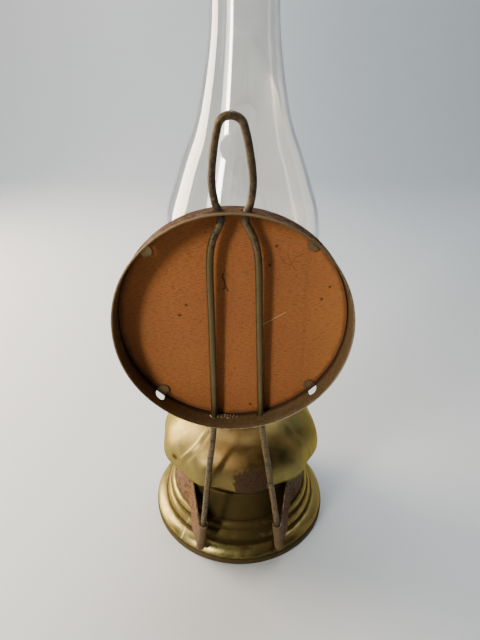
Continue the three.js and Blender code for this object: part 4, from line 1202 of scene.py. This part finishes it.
def make_screen():
    """A thin wall turned about Z, with rows of round holes and one for the spindle's bushing."""
    low, top, rows, columns = SCREEN_SEAT, SCREEN_TOP, (0.64, 0.84), 16
    edges = line((23.9, low + 0.05), (24.35, low + 0.6), (24.0, low + 1.4), (24.1, low + 2.1),
                 (24.9, top - 1.6), (25.2, top - 0.9), (24.95, top - 0.05))
    straight = np.linspace(114.2, top - 2.4, 12)
    wall = np.interp(straight, edges[3:5, 1], edges[3:5, 0])
    profile = np.vstack([rounded(edges, 0.8, closed=False), np.stack([wall, straight], 1)])
    profile = profile[np.argsort(profile[:, 1])]
    holes = []
    for row, share in enumerate(rows):
        z = low + (top - low) * share
        ring = arc((0, length_at(z, profile)), 1.2, 1.2, 0, 360, 18)[:-1]
        for k in range(columns):
            turn = math.radians(90) - (k + row / 2) / columns * TAU
            holes.append(rolled(ring, turn, np.interp(z, profile[:, 1], profile[:, 0])))
    y, z = arc((SPINDLE_FRONT, SPINDLE_HEIGHT), 3.6, 3.6, 0, 360, 30)[:-1].T
    turn = TAU - np.arccos(-y / np.interp(z, profile[:, 1], profile[:, 0]))
    holes.append(np.stack([turn, length_at(z, profile)], 1))
    points, faces = turned_sheet(profile, 224, holes, 0.7, margin=0.25, start=TAU / 64)
    new_piece("air_holes_screen", points, faces, "burner", "burner_brass", ["air_screen"],
              dirt_near(points, [(24.4, low + 1.4), (25, top - 1.6)], 1.1), sharp=38)


def make_wick_tube():
    """A flat tube: a grid with a window at the front for the toothed wheels, rolled to an oval."""
    low, high, wall = BURNER_SEAT - 5, 143.0, 0.5
    middle = oval(9.65 - wall / 2, 1.9 - wall / 2, 84)
    closed = np.vstack([middle, middle[:1]])
    far = lengths(closed)
    window = rounded(box(6.4, 4.6, (far[-1] / 4, SPINDLE_HEIGHT)), 0.8)
    flat, faces = cut_grid(far, np.linspace(low, high, 46), [window], 0.4)
    points = np.column_stack([*at_length(flat[:, 0], closed), flat[:, 1]])
    points, faces = thickened(*welded(points, faces), wall)
    new_piece("flat_wick_tube", points, faces, "burner", "burner_brass", ["wick_tube"],
              {"dirt_and_shade": ramp(points[:, 2], 132, 143)}, sharp=38)


def make_wick():
    """A flat oval strip, 17.5 by 2 mm, whose surface stands out by 0.04 in the braid's ribs."""
    low, high, count = 52.0, 144.0, 96
    around_wick = oval(8.7, 0.96, count)
    z = np.concatenate([[low, low + 0.1], np.linspace(low + 0.5, high - 0.5, 180),
                        [high - 0.12, high - 0.02]])
    shrink = np.ones(len(z))
    shrink[[0, -1]] = 0.93
    grid = np.zeros((len(z), count, 3))
    grid[..., :2] = around_wick[None] * shrink[:, None, None]
    grid[..., 2] = z[:, None]
    ribs = np.sin(grid[..., 0] * TAU / 1.4) * np.sin(grid[..., 2] * TAU / 2.2)
    grid[..., 1] += np.sign(grid[..., 1]) * 0.035 * ribs * (np.abs(grid[..., 1]) > 0.5)
    x = around_wick[:, 0]
    frayed = 0.25 * np.sin(x * 5.1) + 0.15 * np.sin(x * 11.7)
    grid[-2:, :, 2] += (frayed - 0.4)[None] * 0.6
    ends = [np.stack([x * 0.9, 0 * x, 0 * x + h], 1)[None] for h in (low, high - 0.2)]
    grid = np.concatenate([ends[0], grid, ends[1]])
    made = new_piece("flat_wick", grid.reshape(-1, 3), grid_faces(len(grid), count, False, True),
                     "wick", "wick_cotton", ["wick"], sharp=50)


def in_gear(points):
    """From the gear's own frame, its Z along the spindle to -X."""
    x, y, z = points.T
    return np.stack([-z, SPINDLE_FRONT + y, SPINDLE_HEIGHT + x], 1)


def make_gear():
    """The spindle, its bushing, and the knob, whose edge has 18 flutes: 0.7 |sin(9 turn)| deep."""
    reach, tail, radius = 51.0, -13.0, 1.2
    outline = line((0, tail), (0.9, tail), (radius, tail + 0.3), (radius, 44.2), (radius, 47.5),
                   (1.15, reach - 0.6), (0.9, reach - 0.15), (0, reach - 0.15))
    points, faces = revolve(outline, 32, closed=False)
    new_piece("turned_spindle", in_gear(points), faces, "gear", "gear_steel", ["wick_spindle"],
              sharp=30)
    wall = math.sqrt(SCREEN_RADIUS**2 - 1) + AIR
    outline = line((1.3, wall - 4.6), (3.4, wall - 4.6), (3.4, wall), (4.6, wall),
                   (4.6, wall + 0.9), (4.0, wall + 1.4), (1.3, wall + 1.4))
    points, faces = revolve(rounded(outline, 0.35, 3), 64)
    new_piece("bushing", in_gear(points), faces, "burner", "burner_brass", ["spindle_bushing"],
              dirt_near(points, [(1.3, wall + 1.4), (4.6, wall)], 0.8))
    back = reach - 3.4
    outline = line((1.5, back - 3), (3.6, back - 3), (3.6, back), (7.3, back), (8.5, back + 0.9),
                   (8.5, reach - 0.9), (7.6, reach), (6.9, reach), (6.2, reach - 0.9),
                   (3.8, reach - 0.9), (3.6, reach - 0.3), (1.5, reach - 0.3))
    points, faces = revolve(rounded(outline, 0.5), 18 * 14)
    dirt_and_shade = near(section(points), [(6.3, reach - 0.9), (3.6, back)], 0.7)
    flute = 0.7 * np.abs(np.sin(turns_of(points) * 9)) * ramp(section(points)[:, 0], 6.9, 8.1)
    dirt_and_shade += np.clip(flute * 1.1, 0, 1) * 0.6
    wear_and_highlight = ramp(section(points)[:, 0], 8.2, 8.5) * 0.6
    new_piece("fluted_knob", in_gear(push_out(points, -flute)), faces, "gear", "knob_brass",
              ["wick_knob"], {"dirt_and_shade": np.clip(dirt_and_shade, 0, 1), "wear_and_highlight": wear_and_highlight})


def make_gallery():
    """A stepped pan turned about Z as a thin sheet, its profile cut into steps of about 0.8, with
    a ring of slots in its lower wall."""
    seat, pan, out, slots = GALLERY_SEAT, 25.6, 30.4, 12
    profile = line((20.8, seat + 0.4), (pan - 0.4, seat + 0.4), (pan - 0.4, seat + 3.4),
                   (out - 0.4, seat + 3.4), (out - 0.4, seat + 7.3))
    profile = rounded(profile, 0.9, 5, closed=False)
    along = lengths(profile)
    more = np.unique(np.round(np.concatenate([along, np.arange(0, along[-1], 0.8)]), 4))
    more = more[np.concatenate([[True], np.diff(more) > 0.12])]
    profile = np.stack(at_length(more, profile), 1)
    r, z = profile.T
    rises = lengths(profile)[(z >= seat + 1.2) & (z <= seat + 2.6) & (r < pan)]
    slot = rounded(box(1.3, 0.7, (0, (rises[0] + rises[-1]) / 2)), 0.6)
    holes = [rolled(slot, (math.radians(90) - (k + 0.5) / slots * TAU) % TAU, pan - 0.4)
             for k in range(slots)]
    points, faces = turned_sheet(profile, 240, holes, 0.75, margin=0.25)
    new_piece("slotted_gallery", points, faces, "burner", "burner_brass", ["gallery"],
              {"dirt_and_shade": near(section(points), [(pan, seat + 0.8), (pan, seat + 3.4)], 1.2),
               "wear_and_highlight": near(section(points), [(out, seat + 7.5)], 0.7)}, sharp=38)


def make_prongs():
    """Four crowned strips that follow a bent path of (radius, height) up from the gallery."""
    foot, end, steps, columns = GALLERY_SEAT + 3.0, 2.2, 46, 17
    path = line((31.0, foot), (31.0, foot + 4.6), (28.0, foot + 19 * 0.74), (30.9, foot + 18.9))
    path = rounded(path, 3.0, 8, closed=False)

    def half_width(done, left):
        """4, less a waist, with an end rounded to 2.2."""
        round_end = 4 - end + np.sqrt(np.maximum(end**2 - (end - left) ** 2, 0))
        return np.where(left < end, round_end, 4.0) - 0.9 * bell(done, 9, 3.5)

    def crown(across):
        return 0.22 * (1 - across**2) - 0.15

    wear_and_highlight = np.tile(np.abs(np.linspace(-1, 1, columns)) ** 12, 2 * steps) * 0.7
    for k in range(4):
        turn = math.radians(135 + 90 * k)
        points, faces = bent_strip(path, steps, half_width, columns, turn, 0.6, crown, order=-1)
        new_piece(f"spring_prong_{k + 1}", points, faces, "burner", "burner_brass",
                  [f"chimney_prong_{k + 1}"], {"wear_and_highlight": wear_and_highlight}, sharp=40)


def make_deflector():
    """A dome with a slot: cut flat, as (length from the top, turn), and then raised."""
    low, r, high = GALLERY_SEAT + 1.5, 18.6, 19.1
    flange = rounded(line((r, low + 1.1), (r + 0.5, low), (22.2, low)), 0.5, closed=False)
    profile = np.vstack([arc((0, low), r, high, 90, 4, 30), flange])
    far = lengths(profile)

    def polar(length, turns):
        return around(length, turns, 0)[:, :2]

    border = polar(far[-1], np.linspace(0, TAU, 121)[:-1])
    inside = []
    for k, d in enumerate(np.arange(0.8, far[-1] - 0.3, 0.8)):
        count = max(8, int(min(120, d * 8)))
        inside.append(polar(d, np.arange(count) / count * TAU + k * 0.3))
    corners = rounded(box(12, 3.5), 1.2, 5)
    slot = []
    for a, b in zip(corners, np.roll(corners, -1, axis=0)):
        count = max(1, int(np.linalg.norm(b - a) / 0.8))
        slot += [a + (b - a) * k / count for k in range(count)]
    slot = np.array(slot)
    reach = np.hypot(slot[:, 0], slot[:, 1])
    slot *= (np.interp(reach, profile[:, 0], far) / reach)[:, None]
    flat, faces = cut_flat(border, np.vstack(inside), [slot], 0.35)
    d = np.hypot(flat[:, 0], flat[:, 1])
    r, z = at_length(d, profile)
    points = np.column_stack([flat * (r / np.maximum(d, 1e-9))[:, None], z])
    faces = faces if sheet_normals(points, faces)[:, 2].mean() > 0 else faces[:, ::-1]
    points, faces = thickened(points, faces, 0.7)
    new_piece("slotted_deflector", points, faces, "burner", "burner_brass", ["flame_deflector"],
              {"dirt_and_shade": ramp(points[:, 2], 138, 150) * bell(points[:, 1], 0, 7) * 0.9}, sharp=38)


def make_chimney():
    """A foot, a belly that swells by half a cosine, and a long taper through given shares of its
    height and width."""
    height, foot, bulge, top, base = 263.0, 27.4, 48.6, 17.6, 12.0
    widest = height * 0.332
    share = np.linspace(0, 1, 41)[1:]
    belly = np.stack([foot + (bulge - foot) * (1 - np.cos(math.pi * share)) / 2,
                      base + (widest - base) * share], 1)
    knots = line((0, 0), (0.018, 0.05), (0.082, 0.13), (0.226, 0.206), (0.439, 0.309), (0.648, 0.4),
                 (0.787, 0.491), (0.916, 0.616), (0.974, 0.735), (1, 1))
    knots = np.array([bulge, widest]) + knots * [top - bulge, height - widest]
    ends = np.vstack([knots[:1], knots, knots[-1:]])
    t = (np.arange(12) / 12)[:, None]
    taper = [hermite(b, c, (c - a) / 2, (d - b) / 2, t)
             for a, b, c, d in zip(ends, ends[1:], ends[2:], ends[3:])]
    skin = np.vstack([line((foot, 0), (foot, 4), (foot, 8), (foot, 10.5)), belly,
                      np.vstack(taper)[1:], knots[-1:]])
    points, faces = revolve(rounded(walled(skin, 1.8), 1.1, 6, least=50), 200)
    new_piece("glass_chimney", points + [0, 0, CHIMNEY_SEAT], faces, "chimney", "chimney_glass",
              ["chimney"], sharp=60)


# ---------------------------------------------------------------- stage, light and camera


def make_stage():
    """A pale floor that curves up far behind the lamp, with painted light that makes it paler on
    the left and darker and bluer on the right, painted shade on the side towards the camera, and a
    glow far from the lamp so that it meets the background in any view."""
    span = np.linspace(-6, 6, 13)
    path = np.vstack([line((-6.0, 0), (-1.0, 0), (0, 0), (0.7, 0)),
                      arc((1.3, 0.8), 0.8, 0.8, -90, 0, 24), line((2.1, 1.6), (2.1, 3.4))])
    mesh = bpy.data.meshes.new("floor")
    mesh.from_pydata([(x, y, z) for y, z in path.tolist() for x in span.tolist()], [],
                     grid_faces(len(path), len(span))[:, ::-1].tolist())
    mesh.polygons.foreach_set("use_smooth", [True] * len(mesh.polygons))

    def floor_with_painted_light(tree):
        x, y, _ = axes(placed(tree))
        # painted light: paler to the left, darker and bluer to the right
        tone = mixed(faded(x, -0.6, 0.6), (0.7, 0.7, 0.69), (0.38, 0.42, 0.45))
        # painted shade: darker on the side towards the camera
        painted_near_shade = faded(y, -0.45, -0.06, 0.68, 0.0)
        far = largest(faded(abs(x), 1.15, 2.3), faded(y, -2.4, -1.2, 1.0, 0.0))
        return {"Base Color": mixed(painted_near_shade, tone, (0.2, 0.212, 0.22)),
                "Emission Color": mixed(far, (0, 0, 0), (0.4, 0.415, 0.425))}

    mesh.materials.append(finished("floor", floor_with_painted_light, Roughness=0.75, Specular_IOR_Level=0.3,
                                   Emission_Strength=1.0))
    linked("floor", mesh)


def area_light(name, turn, away, height, size, power, tone, aim=(0, -0.02, 0.16)):
    """A panel at a turn from -Y towards +X, a distance away and a height up, facing the lamp."""
    data = bpy.data.lights.new(name, "AREA")
    data.shape = "RECTANGLE"
    data.size, data.size_y = size
    data.energy = power
    data.color = tone
    made = linked(name, data)
    angle = math.radians(turn)
    made.location = Vector((away * math.sin(angle), -away * math.cos(angle), height))
    made.rotation_euler = (Vector(aim) - made.location).to_track_quat("-Z", "Y").to_euler()
    return made


def make_lights():
    """Window light from the left, walls on both sides, the room, sky in front, and a background
    that is pale to the camera and through glass and dim to reflections."""
    area_light("window", -42, 1.3, 0.8, (0.2, 0.5), 17, (1.0, 0.95, 0.87))
    area_light("window_side", -53, 1.3, 0.8, (0.3, 0.55), 3.5, (1.0, 0.95, 0.87))
    lit_wall = area_light("lit_wall", -110, 1.0, 0.5, (0.55, 1.1), 34, (1.0, 0.82, 0.63))
    lit_wall.visible_transmission = False  # else it fills the glass in views from the other side
    area_light("right_wall", 84, 1.0, 0.5, (0.1, 1.1), 0.6, (1.0, 0.8, 0.68))
    area_light("room", -5, 2.3, 1.7, (3.0, 1.4), 1.6, (1.0, 0.85, 0.66))
    area_light("front_sky", 180, 0.6, 2.0, (1.6, 1.0), 52, (0.92, 0.96, 1.0), aim=(-0.1, 1.2, 0.5))
    world = bpy.data.worlds.new("room")
    bpy.context.scene.world = world
    world.use_nodes = True
    path = add(world.node_tree, "LightPath")
    seen = largest(Signal(path, "Is Camera Ray"), Signal(path, "Is Transmission Ray"))
    feed(world.node_tree, world.node_tree.nodes["Background"].inputs[0],
         mixed(seen, (0.03, 0.034, 0.038), (0.5, 0.52, 0.53)))


def make_camera():
    """The camera behind the lamp: turned by a yaw, tipped down by a pitch, and rolled."""
    data = bpy.data.cameras.new("camera")
    data.lens = 27.0
    data.sensor_width = 36.0
    data.sensor_fit = "AUTO"
    data.clip_start = 0.01
    made = linked("camera", data)
    yaw, pitch, roll = (math.radians(a) for a in (0.72, 27.2, 0.59))
    level = math.cos(pitch)
    forward = Vector((math.sin(yaw) * level, math.cos(yaw) * level, -math.sin(pitch)))
    right = Vector((math.cos(yaw), -math.sin(yaw), 0))
    up = right.cross(forward)
    across = right * math.cos(roll) + up * math.sin(roll)
    above = up * math.cos(roll) - right * math.sin(roll)
    turn = Matrix((across, above, -forward)).transposed().to_4x4()
    made.matrix_world = Matrix.Translation((-0.0045, -0.2943, 0.3145)) @ turn
    bpy.context.scene.camera = made


for make in (make_camera, make_lights, make_stage, make_foot, make_font, make_collar, make_strap,
             make_wire, make_rim, make_crumbs, make_discs, make_burner_base, make_screen,
             make_wick_tube, make_wick, make_gear, make_gallery, make_prongs, make_deflector,
             make_chimney):
    make()
for name, slot in {"gear_case": "burner_brass", "sprocket_left": "gear_steel",
                   "sprocket_right": "gear_steel"}.items():
    node_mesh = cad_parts[name].data
    node_mesh.materials.clear()
    node_mesh.materials.append(materials[slot])
